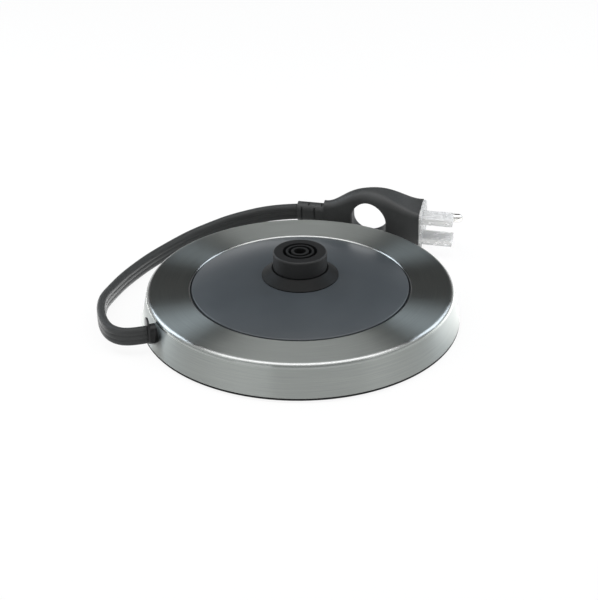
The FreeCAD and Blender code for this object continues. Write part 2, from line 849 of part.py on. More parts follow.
# Tubes along straight runs joined by tangent arcs

def rounded_path(points):
    """Wire of runs and tangent arcs through the points, with the radius of each arc."""
    points = [FreeCAD.Vector(*p) for p in points]
    edges = []
    radii = []
    reached = points[0]
    for before, here, after in zip(points, points[1:], points[2:]):
        come = (before - here).normalize()
        leave = (after - here).normalize()
        turn = math.pi - come.getAngle(leave)
        tangent = arc_share * min(before.distanceToPoint(here), here.distanceToPoint(after))
        radius = tangent / math.tan(turn / 2)
        start = here + come * tangent
        finish = here + leave * tangent
        bisector = (come + leave).normalize()
        middle = here + bisector * (math.hypot(radius, tangent) - radius)
        edges.append(Part.LineSegment(reached, start).toShape())
        edges.append(Part.Arc(start, middle, finish).toShape())
        radii.append(radius)
        reached = finish
    edges.append(Part.LineSegment(reached, points[-1]).toShape())
    return Part.Wire(edges), radii


def tube(name, points, section, upright=False):
    """Solid swept along a rounded path, checked against its section times its length."""
    path, radii = rounded_path(points)
    sweep = Part.BRepOffsetAPI.MakePipeShell(path)
    if upright:
        sweep.setBiNormalMode(FreeCAD.Vector(0, 0, 1))
    sweep.add(section, False, False)
    sweep.build()
    sweep.makeSolid()
    shape = sweep.shape()
    area = Part.Face(section).Area
    share = shape.Volume / (area * path.Length)
    print(f"{name}: length {path.Length:.1f} mm, volume {share:.4f} of section times length, "
          f"radii {[round(radius, 1) for radius in radii]}")
    thing = doc.addObject("Part::Feature", name)
    thing.Shape = shape
    return node(name, thing)


def flat_section(start, ahead):
    """Upright flat oval of the cord's size, square to the way ahead."""
    half = size.cord_thickness.value / 2
    straight = size.cord_width.value / 2 - half
    across = FreeCAD.Vector(0, 0, 1).cross(ahead).normalize()
    up = ahead.cross(across).normalize()

    def spot(sideways, upwards):
        return start + across * sideways + up * upwards

    return Part.Wire([
        Part.LineSegment(spot(half, -straight), spot(half, straight)).toShape(),
        Part.Arc(spot(half, straight), spot(0, straight + half), spot(-half, straight)).toShape(),
        Part.LineSegment(spot(-half, straight), spot(-half, -straight)).toShape(),
        Part.Arc(spot(-half, -straight), spot(0, -straight - half), spot(half, -straight)).toShape(),
    ])


def make_power_cord():
    first = FreeCAD.Vector(*cord_route[0])
    second = FreeCAD.Vector(*cord_route[1])
    tube("power_cord", cord_route, flat_section(first, (second - first).normalize()), upright=True)


# Gland through the skirt, the sheath behind it and the plate that clamps it
def make_cord_grommet():
    front = -size.gland_flange
    inside = front - size.gland_neck
    flange = padded_body("gland_flange", "YZ_Plane",
                         moved(oval_outline(size.gland_flange_width, size.gland_flange_height),
                               y=size.gland_rise),
                         front, size.gland_flange)
    neck = padded_body("gland_neck", "YZ_Plane",
                       oval_outline(size.gland_neck_width, size.gland_neck_height),
                       inside, size.gland_neck)
    back = padded_body("gland_back", "YZ_Plane",
                       oval_outline(size.gland_back_width, size.gland_back_height),
                       -gland_length(), size.gland_back_flange)
    node("cord_grommet", at_exit(joined("cord_grommet", flange, neck, back)))


def make_inner_cord():
    sheath = padded_body("inner_cord", "YZ_Plane", oval_outline(size.cord_thickness, size.cord_width),
                         -(gland_length() + size.inner_cord_length), size.inner_cord_length)
    node("inner_cord", at_exit(sheath))


def make_cord_clamp():
    back = gland_length() + size.clamp_start
    plate = block("clamp_plate_block", size.clamp_length, size.clamp_plate, size.clamp_height,
                  -(back + size.clamp_length), -(size.cord_thickness / 2 + size.clamp_plate),
                  pan_top + size.clamp_lift - size.exit_height)
    bored = without("clamp_bored", plate, *clamp_screw_shanks("clamp_hole", size.thread_clearance))
    node("cord_clamp", at_exit(bored))
    heads = []
    reach = size.cord_thickness / 2 + size.clamp_plate
    for index, (shank, (x, z)) in enumerate(zip(clamp_screw_shanks("clamp_screw", 0), clamp_screw_places())):
        head = rod(f"clamp_head_{index}", size.clamp_screw_head_radius, size.clamp_screw_head_height, x,
                   -(reach + size.clamp_screw_head_height), z, "y")
        heads.append(joined(f"clamp_screw_whole_{index}", shank, head))
    node("cord_clamp_screws", at_exit(group("cord_clamp_screws", *heads)))


# Insulated leads from the terminals to the end of the sheath
def make_leads():
    sheath_end = FreeCAD.Vector(-(gland_length() + size.inner_cord_length).value, 0, 0)
    turn = FreeCAD.Rotation(downward, size.exit_turn.value)
    exit_point = FreeCAD.Vector(exit_x.value, exit_y.value, size.exit_height.value)
    inward = turn.multVec(FreeCAD.Vector(-1, 0, 0))
    end = exit_point + turn.multVec(sheath_end)
    spread = (size.cord_width - size.cord_thickness).value / 2
    tab_height = (carrier_deck + size.leaf_height + size.terminal_tab / 2).value
    reach = size.terminal_reach.value
    for name, lift in (("neutral", spread), ("earth", 0), ("live", -spread)):
        side, y = contact_layout[name]
        start = (side * reach, as_size(y).value, tab_height)
        sheath = end + FreeCAD.Vector(0, 0, lift)
        ahead = sheath + inward * size.lead_run_in.value
        points = [start] + lead_routes[name] + [tuple(ahead), tuple(sheath)]
        first = FreeCAD.Vector(*points[0])
        way = (FreeCAD.Vector(*points[1]) - first).normalize()
        section = Part.Wire([Part.Circle(first, way, size.lead_radius.value).toShape()])
        tube(f"{name}_lead", points, section)


# Moulded plug with a finger ring, a slotted strain relief and a flat face for the blades

# Slots that let the strain relief bend, by distance from its end: across its flat faces, and its edges
relief_face_slots = (2.2, 9.4)
relief_edge_slots = (6.0, 13.2)


def blended(first, last, place_share, shape_share):
    """Cross-section part of the way from one to another, in its place and in its shape."""
    shares = [place_share] + [shape_share] * (len(first) - 1)
    return tuple(a + (b - a) * share for a, b, share in zip(first, last, shares))


def plug_sections():
    """Cross-sections from the neck to the face: place, near side, far side, half height, roundings."""
    ring_half = size.plug_half_height - size.plug_ring_swell
    neck = (-size.plug_neck_place, size.plug_neck_offset - size.plug_neck_half_width,
            size.plug_neck_offset + size.plug_neck_half_width, size.plug_neck_half_height,
            size.plug_neck_round, size.plug_neck_round)
    back = (-size.plug_ring_back, size.plug_ring_near, size.plug_ring_far, ring_half,
            size.plug_ring_round, size.plug_ring_round)
    front = (-size.plug_ring_front, size.plug_ring_front_near, size.plug_ring_front_far, ring_half,
             size.plug_ring_round, size.plug_ring_round)
    face = (as_size(0), plug_face_near, plug_face_far, size.plug_face_half_height,
            size.plug_face_round, size.plug_face_far_round)
    # The ring swells out of the neck in an S, and narrows towards the face
    lower = blended(neck, back, 0.35, 0.28)
    upper = blended(neck, back, 0.68, 0.76)
    waist = blended(front, face, 0.5, 0.55)
    return [neck, lower, upper, back, front, waist, face]


def make_plug_moulding():
    body = doc.addObject("PartDesign::Body", "plug_moulding")
    sketches = []
    for index, (place_behind, near, far, half, near_round, far_round) in enumerate(plug_sections()):
        outline = rounded_outline(near, far, -half, half, near_round, far_round)
        sketches.append(outline_sketch(body, "YZ_Plane", f"plug_section_{index}", outline, place_behind))
    loft = body.newObject("PartDesign::AdditiveLoft", "plug_loft")
    loft.Profile = sketches[0]
    loft.Sections = sketches[1:]
    doc.recompute()
    whole = body.Shape.Volume
    oval = moved(oval_outline(size.finger_hole_length, size.finger_hole_height), x=-size.finger_hole_centre)
    hole_outline = outline_sketch(body, "XZ_Plane", "finger_hole_outline", oval)
    hole = body.newObject("PartDesign::Pocket", "finger_hole")
    hole.Profile = hole_outline
    hole.Midplane = True
    bind(hole, "Length", plug_face_far * 4)
    doc.recompute()
    if body.Shape.Volume > whole - 1:
        raise RuntimeError("the finger hole cuts nothing")
    rim = [f"Edge{index}" for index, edge in enumerate(body.Shape.Edges, start=1) if on_hole_rim(edge)]
    soft_rim = body.newObject("PartDesign::Fillet", "finger_hole_rim")
    soft_rim.Base = (hole, rim)
    bind(soft_rim, "Radius", size.finger_hole_round)
    doc.recompute()
    return body


def on_hole_rim(edge):
    """True for an edge where the finger hole meets the near or far side of the plug."""
    half_long = size.finger_hole_length.value / 2
    straight = size.finger_hole_height.value / 2 - half_long
    first, last = edge.ParameterRange
    for share in (0.1, 0.5, 0.9):
        spot = edge.valueAt(first + (last - first) * share)
        x = spot.x + size.finger_hole_centre.value
        z = max(abs(spot.z) - straight, 0)
        if abs(math.hypot(x, z) - half_long) > 1e-3:
            return False
    start = edge.valueAt(first)
    finish = edge.valueAt(last)
    runs_through = abs(finish.y - start.y) > 0.9 * edge.Length
    return not runs_through


def blade(name, height):
    """Flat blade with a tapered tip and a hole, from inside the bridge to its tip."""
    half = size.blade_width / 2
    tip = size.blade_length
    body = padded_body(name, "XY_Plane", [
        (-size.blade_root, -half),
        (tip - size.blade_taper, -half),
        (tip, -(half - size.blade_taper)),
        (tip, half - size.blade_taper),
        (tip - size.blade_taper, half),
        (-size.blade_root, half),
    ], height - size.blade_thickness / 2, size.blade_thickness)
    hole = rod(f"{name}_hole", size.blade_hole_radius, size.blade_thickness, size.blade_hole_place, 0,
               height - size.blade_thickness / 2)
    return without(f"{name}_bored", body, hole)


def make_plug():
    core_outline = moved(oval_outline(size.relief_core_width, size.relief_core_height),
                         x=size.plug_neck_offset)
    core = padded_body("relief_core", "YZ_Plane", core_outline, -size.relief_start,
                       size.relief_start - size.plug_neck_place)
    sleeve_outline = moved(oval_outline(size.relief_width, size.relief_height), x=size.plug_neck_offset)
    sleeve = padded_body("relief_sleeve", "YZ_Plane", sleeve_outline, -size.relief_start,
                         size.relief_start - size.plug_neck_place)
    slots = []
    for index, start in enumerate(relief_face_slots):
        for side in (-1, 1):
            middle = size.plug_neck_offset + side * (size.relief_core_width + size.relief_width) / 2
            slots.append(block(f"relief_face_slot_{index}_{side + 1}", size.relief_slot,
                               size.relief_width, size.relief_height, start - size.relief_start,
                               middle - size.relief_width / 2, -size.relief_height / 2))
    for index, start in enumerate(relief_edge_slots):
        for side in (-1, 1):
            middle = side * (size.relief_core_height + size.relief_height) / 2
            slots.append(block(f"relief_edge_slot_{index}_{side + 1}", size.relief_slot,
                               size.relief_width, size.relief_height, start - size.relief_start,
                               size.plug_neck_offset - size.relief_width / 2,
                               middle - size.relief_height / 2))
    moulded = [make_plug_moulding(), core, without("slotted_relief", sleeve, *slots)]
    bridge_outline = rounded_outline(bridge_near, bridge_far, -(bridge_height / 2),
                                     bridge_height / 2, size.bridge_round, size.bridge_far_round)
    bridge = padded_body("bridge", "YZ_Plane", bridge_outline, -size.bridge_depth, size.bridge_depth)
    node("plug_body", at_plug(without("plug_shape", joined("plug_moulded", *moulded), bridge)))

    half_spacing = size.blade_spacing / 2
    live = blade("live_blade", half_spacing)
    neutral = blade("neutral_blade", -half_spacing)
    shaft = rod("pin_shaft", size.pin_radius, size.pin_length - size.pin_radius + size.blade_root,
                -size.blade_root, size.pin_offset, 0, "x")
    tip = doc.addObject("Part::Sphere", "pin_tip")
    bind(tip, "Radius", size.pin_radius)
    place(tip, size.pin_length - size.pin_radius, size.pin_offset, 0)
    pin = joined("ground_pin", shaft, tip)
    node("plug_bridge", at_plug(without("bridge_shape", bridge, live, neutral, pin)))
    node("plug_blade_live", at_plug(live))
    node("plug_blade_neutral", at_plug(neutral))
    node("plug_ground_pin", at_plug(pin))


# Clear cover pushed over the blades: a plate on the plug's face and a closed sleeve for each blade
def make_blade_cover():
    inset = size.cover_inset
    half = size.plug_face_half_height - inset
    plate_outline = rounded_outline(plug_face_near + inset, plug_face_far - inset, -half, half,
                                    size.plug_face_round - inset, size.plug_face_far_round - inset)
    solids = [padded_body("cover_plate", "YZ_Plane", plate_outline, 0, size.cover_flange)]
    cuts = []
    room_width = size.blade_width + 2 * size.cover_clearance
    room_height = size.blade_thickness + 2 * size.cover_clearance
    room_length = size.blade_length + size.cover_clearance
    sleeve_width = room_width + 2 * size.cover_wall
    sleeve_height = room_height + 2 * size.cover_wall
    for side, middle in (("upper", size.blade_spacing / 2), ("lower", -(size.blade_spacing / 2))):
        solids.append(block(f"{side}_sleeve", room_length + size.cover_end, sleeve_width, sleeve_height,
                            0, -(sleeve_width / 2), middle - sleeve_height / 2))
        cuts.append(block(f"{side}_room", room_length, room_width, room_height,
                          0, -(room_width / 2), middle - room_height / 2))
    cuts.append(rod("cover_pin_hole", size.pin_radius + size.cover_clearance, size.cover_flange, 0,
                    size.pin_offset, 0, "x"))
    node("blade_cover", at_plug(without("cover_shape", joined("cover_solids", *solids), *cuts)))


make_base_pan()
make_feet()
make_pan_screws()
make_steel_shell()
make_deck()
make_connector_hub()
make_connector_collar()
make_hub_screws()
make_contact_carrier()
make_carrier_screws()
make_contacts()
make_terminals()
make_power_cord()
make_cord_grommet()
make_inner_cord()
make_cord_clamp()
make_leads()
make_plug()
make_blade_cover()
doc.recompute()

failed = [item.Name for item in doc.Objects if "Invalid" in item.State or "Error" in item.State]
if failed:
    raise RuntimeError(f"these objects failed: {failed}")
for name, thing in parts.items():
    if thing.Shape.isNull() or not thing.Shape.isValid():
        raise RuntimeError(f"the shape of {name} is not valid")

os.makedirs("parts", exist_ok=True)
for name, thing in parts.items():
    thing.Shape.exportStep(f"parts/{name}.step")
    print(name, len(thing.Shape.Solids), round(thing.Shape.Volume, 1))
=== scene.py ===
import math
import bpy
import bmesh
from mathutils import Matrix, Vector


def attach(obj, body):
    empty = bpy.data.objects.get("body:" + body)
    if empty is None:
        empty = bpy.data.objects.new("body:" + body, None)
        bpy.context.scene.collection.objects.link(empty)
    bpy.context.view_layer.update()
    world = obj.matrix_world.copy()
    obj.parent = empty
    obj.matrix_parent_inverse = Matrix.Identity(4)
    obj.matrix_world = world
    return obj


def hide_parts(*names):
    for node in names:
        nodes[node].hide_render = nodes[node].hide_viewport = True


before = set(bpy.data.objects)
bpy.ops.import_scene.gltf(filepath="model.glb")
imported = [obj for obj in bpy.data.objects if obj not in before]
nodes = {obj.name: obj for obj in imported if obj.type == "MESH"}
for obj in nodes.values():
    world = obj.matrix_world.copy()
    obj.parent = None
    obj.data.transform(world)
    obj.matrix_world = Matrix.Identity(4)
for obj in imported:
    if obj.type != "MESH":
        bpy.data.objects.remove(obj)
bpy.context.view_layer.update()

scene = bpy.context.scene
mm = 0.001


# camera, from the ellipses of the base in the photograph

cameraSettings = {
    "elevation": 29.44,  # degrees above the floor
    "roll": -0.555,
    "distance": 0.700,  # m from the middle of the base
    "aimHeight": 0.001,
    "focalPixels": 1383.1,
    "imageHeight": 600,
    "sensor": 36.0,
    "shiftX": -0.00259,
    "shiftY": 0.02507,
}


def addCamera(s):
    elevation = math.radians(s["elevation"])
    roll = math.radians(s["roll"])
    right = Vector((1, 0, 0))
    back = Vector((0, -math.cos(elevation), math.sin(elevation)))
    up = Vector((0, math.sin(elevation), math.cos(elevation)))
    across = right * math.cos(roll) + up * math.sin(roll)
    upright = up * math.cos(roll) - right * math.sin(roll)
    data = bpy.data.cameras.new("photoCamera")
    data.lens = s["focalPixels"] / s["imageHeight"] * s["sensor"]
    data.sensor_width = s["sensor"]
    data.shift_x = s["shiftX"]
    data.shift_y = s["shiftY"]
    camera = bpy.data.objects.new("photoCamera", data)
    scene.collection.objects.link(camera)
    turn = Matrix((across, upright, back)).transposed().to_4x4()
    turn.translation = back * s["distance"] + Vector((0, 0, s["aimHeight"]))
    camera.matrix_world = turn
    scene.camera = camera


addCamera(cameraSettings)
print("camera: set at the photograph's angle")


# materials

def linear(hexColour):  # sRGB hex to linear
    values = [int(hexColour[i:i + 2], 16) / 255 for i in (1, 3, 5)]
    curve = [v / 12.92 if v <= 0.04045 else ((v + 0.055) / 1.055) ** 2.4 for v in values]
    return (*curve, 1.0)


def addNode(tree, kind, settings=None, links=None):
    node = tree.nodes.new(kind)
    for key, value in (settings or {}).items():
        if isinstance(key, str) and hasattr(node, key):
            setattr(node, key, value)
        else:
            node.inputs[key].default_value = value
    for key, socket in (links or {}).items():
        tree.links.new(socket, node.inputs[key])
    return node


def startMaterial(name, constants):
    material = bpy.data.materials.new(name)
    material.use_nodes = True
    tree = material.node_tree
    shader = tree.nodes["Principled BSDF"]
    for key, value in constants.items():
        shader.inputs[key].default_value = value
    return material, tree, shader


def setStops(ramp, stops):
    elements = ramp.color_ramp.elements
    while len(elements) < len(stops):
        elements.new(0.5)
    for element, (place, colour) in zip(elements, stops):
        element.position = place
        element.color = colour


def grey(value):
    return (value, value, value, 1.0)


def spreadLook(tree, s, colourField, roughField):
    shades = (linear(s["colourLow"]), linear(s["colourHigh"]))
    colour = addNode(tree, "ShaderNodeValToRGB", None, {"Fac": colourField})
    setStops(colour, list(zip(s["colourSpan"], shades)))
    low, high = s["roughSpan"]
    rough = addNode(tree, "ShaderNodeMapRange", {"From Min": low, "From Max": high, "To Min": s["roughLow"],
                                                 "To Max": s["roughHigh"]}, {"Value": roughField})
    return colour.outputs["Color"], rough.outputs["Result"]


def wireShader(tree, shader, sockets):
    for key, socket in sockets.items():
        tree.links.new(socket, shader.inputs[key])


# stainless sheet, spun and brushed round its axis: fine rings that fan the light out in lobes
steelLook = {
    "colourLow": "#949896",
    "colourHigh": "#A4A8A5",
    "colourSpan": (0.3, 0.7),  # noise levels at which the low and the high value are reached
    # brighter colour on the crests of the lip and the shoulder: partly the polish of rubbed edges, partly a
    # painted highlight
    "colourEdgeAndHighlight": "#B4B6B5",
    "roughLow": 0.35,
    "roughHigh": 0.41,
    "roughSpan": (0.3, 0.7),
    "roughEdge": 0.22,
    "anisotropy": 1.0,
    "fanTurn": 0.25,  # share of a turn, so that the light fans out across the brush lines
    "lip": 56.2,  # mm, edges inside this and outside the shoulder are rubbed smooth
    "shoulder": 74.6,
    "rimFade": 0.8,  # mm
    "shoulderFoot": 15.8,
    "highlightFoot": 17.4,  # mm, above this the edges also get the brighter colour, partly the polish of rubbed steel and partly a painted highlight
    "footFade": 0.5,  # mm
    "streakWidth": 0.22,  # mm, real brush lines are finer and would not show
    "streakTurn": 3.0,  # streaks per radian of arc
    "streakDetail": 3.0,
    "streakRoughness": 0.6,
    "bumpDepth": 0.004,  # mm
    "bumpStrength": 0.3,
}


def brushedSteel(s):
    material, tree, shader = startMaterial("stainlessSteelBrushedRound", {
        "Metallic": 1.0, "Anisotropic": s["anisotropy"], "Anisotropic Rotation": s["fanTurn"]})
    place = addNode(tree, "ShaderNodeTexCoord")
    split = addNode(tree, "ShaderNodeSeparateXYZ", None, {0: place.outputs["Object"]})
    flat = addNode(tree, "ShaderNodeCombineXYZ", None, {"X": split.outputs["X"], "Y": split.outputs["Y"]})
    radius = addNode(tree, "ShaderNodeVectorMath", {"operation": "LENGTH"}, {0: flat.outputs[0]})
    around = addNode(tree, "ShaderNodeVectorMath", {"operation": "NORMALIZE"}, {0: flat.outputs[0]})
    # streaks: long round the axis, fine along the radius and the height
    turn = addNode(tree, "ShaderNodeVectorMath", {"operation": "SCALE", "Scale": s["streakTurn"]},
                   {0: around.outputs[0]})
    perMetre = 1 / (s["streakWidth"] * mm)
    rings = addNode(tree, "ShaderNodeMath", {"operation": "MULTIPLY", 1: perMetre},
                    {0: radius.outputs["Value"]})
    rise = addNode(tree, "ShaderNodeMath", {"operation": "MULTIPLY", 1: perMetre}, {0: split.outputs["Z"]})
    lift = addNode(tree, "ShaderNodeCombineXYZ", None, {"Z": rings.outputs[0]})
    field = addNode(tree, "ShaderNodeVectorMath", {"operation": "ADD"},
                    {0: turn.outputs[0], 1: lift.outputs[0]})
    streaks = addNode(tree, "ShaderNodeTexNoise", {
        "noise_dimensions": "4D", "Scale": 1.0,
        "Detail": s["streakDetail"], "Roughness": s["streakRoughness"]},
        {"Vector": field.outputs[0], "W": rise.outputs[0]})
    colour, rough = spreadLook(tree, s, streaks.outputs["Fac"], streaks.outputs["Fac"])
    # rubbed edges: the lip and the shoulder are smoother, and their crests get a brighter colour that is
    # partly polish and partly a painted highlight where the top lamp's highlight falls
    masks = {}
    for label, value, start, width in (
            ("lip", radius.outputs["Value"], s["lip"], -s["rimFade"]),
            ("outside", radius.outputs["Value"], s["shoulder"], s["rimFade"]),
            ("above", split.outputs["Z"], s["shoulderFoot"], s["footFade"]),
            ("highlightBand", split.outputs["Z"], s["highlightFoot"], s["footFade"])):
        ends = {"From Min": start * mm, "From Max": (start + width) * mm}
        masks[label] = addNode(tree, "ShaderNodeMapRange", ends, {"Value": value}).outputs["Result"]
    shoulder = addNode(tree, "ShaderNodeMath", {"operation": "MULTIPLY"},
                       {0: masks["outside"], 1: masks["above"]})
    edge = addNode(tree, "ShaderNodeMath", {"operation": "MAXIMUM"},
                   {0: masks["lip"], 1: shoulder.outputs[0]})
    polishAndHighlight = addNode(tree, "ShaderNodeMath", {"operation": "MULTIPLY"},
                    {0: edge.outputs[0], 1: masks["highlightBand"]})
    # painted highlight: the crests are mixed towards the brighter edge colour
    edgeColourAndHighlight = addNode(tree, "ShaderNodeMix", {"data_type": "RGBA", 7: linear(s["colourEdgeAndHighlight"])},
                     {0: polishAndHighlight.outputs[0], 6: colour})
    worn = addNode(tree, "ShaderNodeMix", {"data_type": "FLOAT", 3: s["roughEdge"]},
                   {0: edge.outputs[0], 2: rough})
    strength = addNode(tree, "ShaderNodeMapRange", {"To Min": s["bumpStrength"], "To Max": 0.0},
                       {"Value": edge.outputs[0]})
    bump = addNode(tree, "ShaderNodeBump", {"Distance": s["bumpDepth"] * mm},
                   {"Height": streaks.outputs["Fac"], "Strength": strength.outputs["Result"]})
    tangent = addNode(tree, "ShaderNodeTangent", {"direction_type": "RADIAL", "axis": "Z"})
    wireShader(tree, shader, {"Base Color": edgeColourAndHighlight.outputs[2], "Roughness": worn.outputs[0],
                              "Normal": bump.outputs["Normal"], "Tangent": tangent.outputs[0]})
    return material


# moulded plastics and rubbers: a base colour that wanders a little and a spark-eroded grain from the mould
plasticShared = {
    "specular": 0.5,
    "colourSpan": (0.35, 0.65),
    "roughSpan": (0.3, 0.7),
    "cloudDetail": 3.0,
    "grainDetail": 2.0,
    "grainRoughness": 0.55,
}
plasticLooks = {  # cloud, grain and its depth in mm
    # satin slate ABS: an even blue grey with a soft sheen where it turns to the light
    "slateAbsSatinMoulded": {
        "colourLow": "#3F4448", "colourHigh": "#454A4E", "ior": 1.52, "roughLow": 0.28, "roughHigh": 0.34,
        "cloudSize": 30, "grainSize": 0.35, "grainStrength": 0.1, "grainDepth": 0.004},
    # black glass-filled nylon: dense black with a dull satin edge
    "blackNylonMoulded": {
        "colourLow": "#0E0F10", "colourHigh": "#131415", "ior": 1.53, "specular": 0.42, "roughLow": 0.42,
        "roughHigh": 0.55, "cloudSize": 8, "grainSize": 0.4, "grainStrength": 0.3, "grainDepth": 0.012},
    # black nylon cone round the hub: finer texture, nearly matt, and painted darker than the hub's nylon as
    # painted shade
    "blackNylonMattShaded": {
        "colourLow": "#070808", "colourHigh": "#0B0C0C", "ior": 1.53, "specular": 0.16, "roughLow": 0.46,
        "roughHigh": 0.56, "cloudSize": 8, "grainSize": 0.3, "grainStrength": 0.15, "grainDepth": 0.006},
    # black PVC pressed round the plug: charcoal with a soft broad sheen
    "blackPvcOvermoulded": {
        "colourLow": "#2D2E2E", "colourHigh": "#353636", "ior": 1.53, "roughLow": 0.46, "roughHigh": 0.66,
        "cloudSize": 12, "grainSize": 0.45, "grainStrength": 0.35, "grainDepth": 0.015},
    # dark polypropylene pan: charcoal, matt
    "charcoalPolypropyleneMoulded": {
        "colourLow": "#141516", "colourHigh": "#1B1D1E", "ior": 1.49, "specular": 0.2, "roughLow": 0.5,
        "roughHigh": 0.65, "cloudSize": 20, "grainSize": 0.6, "grainStrength": 0.4, "grainDepth": 0.02},
    # rubber feet: black, dull
    "blackRubberPressed": {
        "colourLow": "#1E1E1E", "colourHigh": "#292929", "ior": 1.5, "roughLow": 0.7, "roughHigh": 0.85,
        "cloudSize": 4, "grainSize": 0.3, "grainStrength": 0.4, "grainDepth": 0.02},
    # ivory PBT carrier: warm and matt
    "ivoryPbtMoulded": {
        "colourLow": "#B9B3A2", "colourHigh": "#C6C1B1", "ior": 1.55, "roughLow": 0.45, "roughHigh": 0.6,
        "cloudSize": 9, "grainSize": 0.4, "grainStrength": 0.2, "grainDepth": 0.01},
}
# PVC wire insulation: smooth with a low gloss
wireShared = {
    "ior": 1.53, "roughLow": 0.35, "roughHigh": 0.45, "cloudSize": 6, "grainSize": 0.8, "grainStrength": 0.1,
    "grainDepth": 0.01}
wireColours = {
    "blackWirePvcExtruded": ("#1F1F20", "#28282A"),
    "whiteWirePvcExtruded": ("#D3D2CC", "#DFDED8"),
    "greenWirePvcExtruded": ("#2E7A45", "#35874D"),
}
for name, (low, high) in wireColours.items():
    plasticLooks[name] = {**wireShared, "colourLow": low, "colourHigh": high}


def mouldedPlastic(name, s):
    material, tree, shader = startMaterial(name, {"IOR": s["ior"], "Specular IOR Level": s["specular"]})
    place = addNode(tree, "ShaderNodeTexCoord")
    cloud = addNode(tree, "ShaderNodeTexNoise", {
        "Scale": 1 / (s["cloudSize"] * mm), "Detail": s["cloudDetail"]}, {"Vector": place.outputs["Object"]})
    grain = addNode(tree, "ShaderNodeTexNoise", {
        "Scale": 1 / (s["grainSize"] * mm), "Detail": s["grainDetail"], "Roughness": s["grainRoughness"]},
        {"Vector": place.outputs["Object"]})
    colour, rough = spreadLook(tree, s, cloud.outputs["Fac"], grain.outputs["Fac"])
    bump = addNode(tree, "ShaderNodeBump", {"Strength": s["grainStrength"], "Distance": s["grainDepth"] * mm},
                   {"Height": grain.outputs["Fac"]})
    wireShader(tree, shader, {"Base Color": colour, "Roughness": rough, "Normal": bump.outputs["Normal"]})
    return material


# plated and rolled metal: faint rolling lines and a wandering tarnish
metalShared = {
    "colourSpan": (0.35, 0.65),
    "roughSpan": (0.3, 0.7),
    "lineDetail": 2.0,
}
metalLooks = {  # line sizes in mm
    # nickel plated brass blades: pale grey with lines from stamping
    "nickelPlatedBrassStamped": {"colourLow": "#DEDDD9", "colourHigh": "#ECEBE8", "roughLow": 0.24,
                                 "roughHigh": 0.38, "lineSize": (3.0, 3.0, 0.4)},
    # phosphor bronze strip: warm, rolled
    "phosphorBronzeRolled": {"colourLow": "#B08458", "colourHigh": "#C79A6B", "roughLow": 0.25,
                             "roughHigh": 0.4, "lineSize": (4.0, 0.3, 0.3)},
    # zinc plated steel screws: bluish grey
    "zincPlatedSteel": {"colourLow": "#9A9DA1", "colourHigh": "#B4B7BA", "roughLow": 0.28, "roughHigh": 0.42,
                        "lineSize": (0.6, 0.6, 0.6)},
}


def rolledMetal(name, s):
    material, tree, shader = startMaterial(name, {"Metallic": 1.0})
    place = addNode(tree, "ShaderNodeTexCoord")
    lines = addNode(tree, "ShaderNodeMapping", {"Scale": tuple(1 / (x * mm) for x in s["lineSize"])},
                    {"Vector": place.outputs["Object"]})
    rolled = addNode(tree, "ShaderNodeTexNoise", {"Scale": 1.0, "Detail": s["lineDetail"]},
                     {"Vector": lines.outputs[0]})
    colour, rough = spreadLook(tree, s, rolled.outputs["Fac"], rolled.outputs["Fac"])
    wireShader(tree, shader, {"Base Color": colour, "Roughness": rough})
    return material


# clear PVC moulded over the blades: milky white but see-through, with flow streaks along the blades
clearLook = {
    "colour": "#FDFDFD",
    "ior": 1.36,
    "clear": 0.5,
    "roughLow": 0.1,
    "roughHigh": 0.3,
    "roughSpan": (0.35, 0.65),
    "streakSize": (9.0, 1.0, 1.0),  # mm, along the blades and across them
    "streakDetail": 2.0,
    "streakDepth": 0.02,  # mm
    "streakStrength": 0.2,
}


def clearPlastic(s):
    material, tree, shader = startMaterial("clearPvcMoulded", {
        "Base Color": linear(s["colour"]), "IOR": s["ior"], "Transmission Weight": s["clear"]})
    place = addNode(tree, "ShaderNodeTexCoord")
    drawn = addNode(tree, "ShaderNodeMapping", {"Scale": tuple(1 / (x * mm) for x in s["streakSize"])},
                    {"Vector": place.outputs["Object"]})
    flow = addNode(tree, "ShaderNodeTexNoise", {"Scale": 1.0, "Detail": s["streakDetail"]},
                   {"Vector": drawn.outputs[0]})
    low, high = s["roughSpan"]
    rough = addNode(tree, "ShaderNodeMapRange", {"From Min": low, "From Max": high, "To Min": s["roughLow"],
                                                 "To Max": s["roughHigh"]}, {"Value": flow.outputs["Fac"]})
    bump = addNode(tree, "ShaderNodeBump", {
        "Strength": s["streakStrength"], "Distance": s["streakDepth"] * mm}, {"Height": flow.outputs["Fac"]})
    wireShader(tree, shader, {"Roughness": rough.outputs["Result"], "Normal": bump.outputs["Normal"]})
    return material


# extruded PVC cord jacket: matt charcoal with fine drawn lines along its length
cordLook = {
    "colourLow": "#373838",
    "colourHigh": "#434444",
    "colourSpan": (0.3, 0.75),
    "ior": 1.53,
    "specular": 0.14,
    "roughLow": 0.42,
    "roughHigh": 0.58,
    "roughSpan": (0.3, 0.7),
    "lineSpacing": 0.5,  # mm round the jacket
    "lineLength": 12.0,  # mm along it
    "lineDetail": 3.0,
    "lineRoughness": 0.6,
    "lineDepth": 0.02,  # mm
    "lineStrength": 0.25,
}


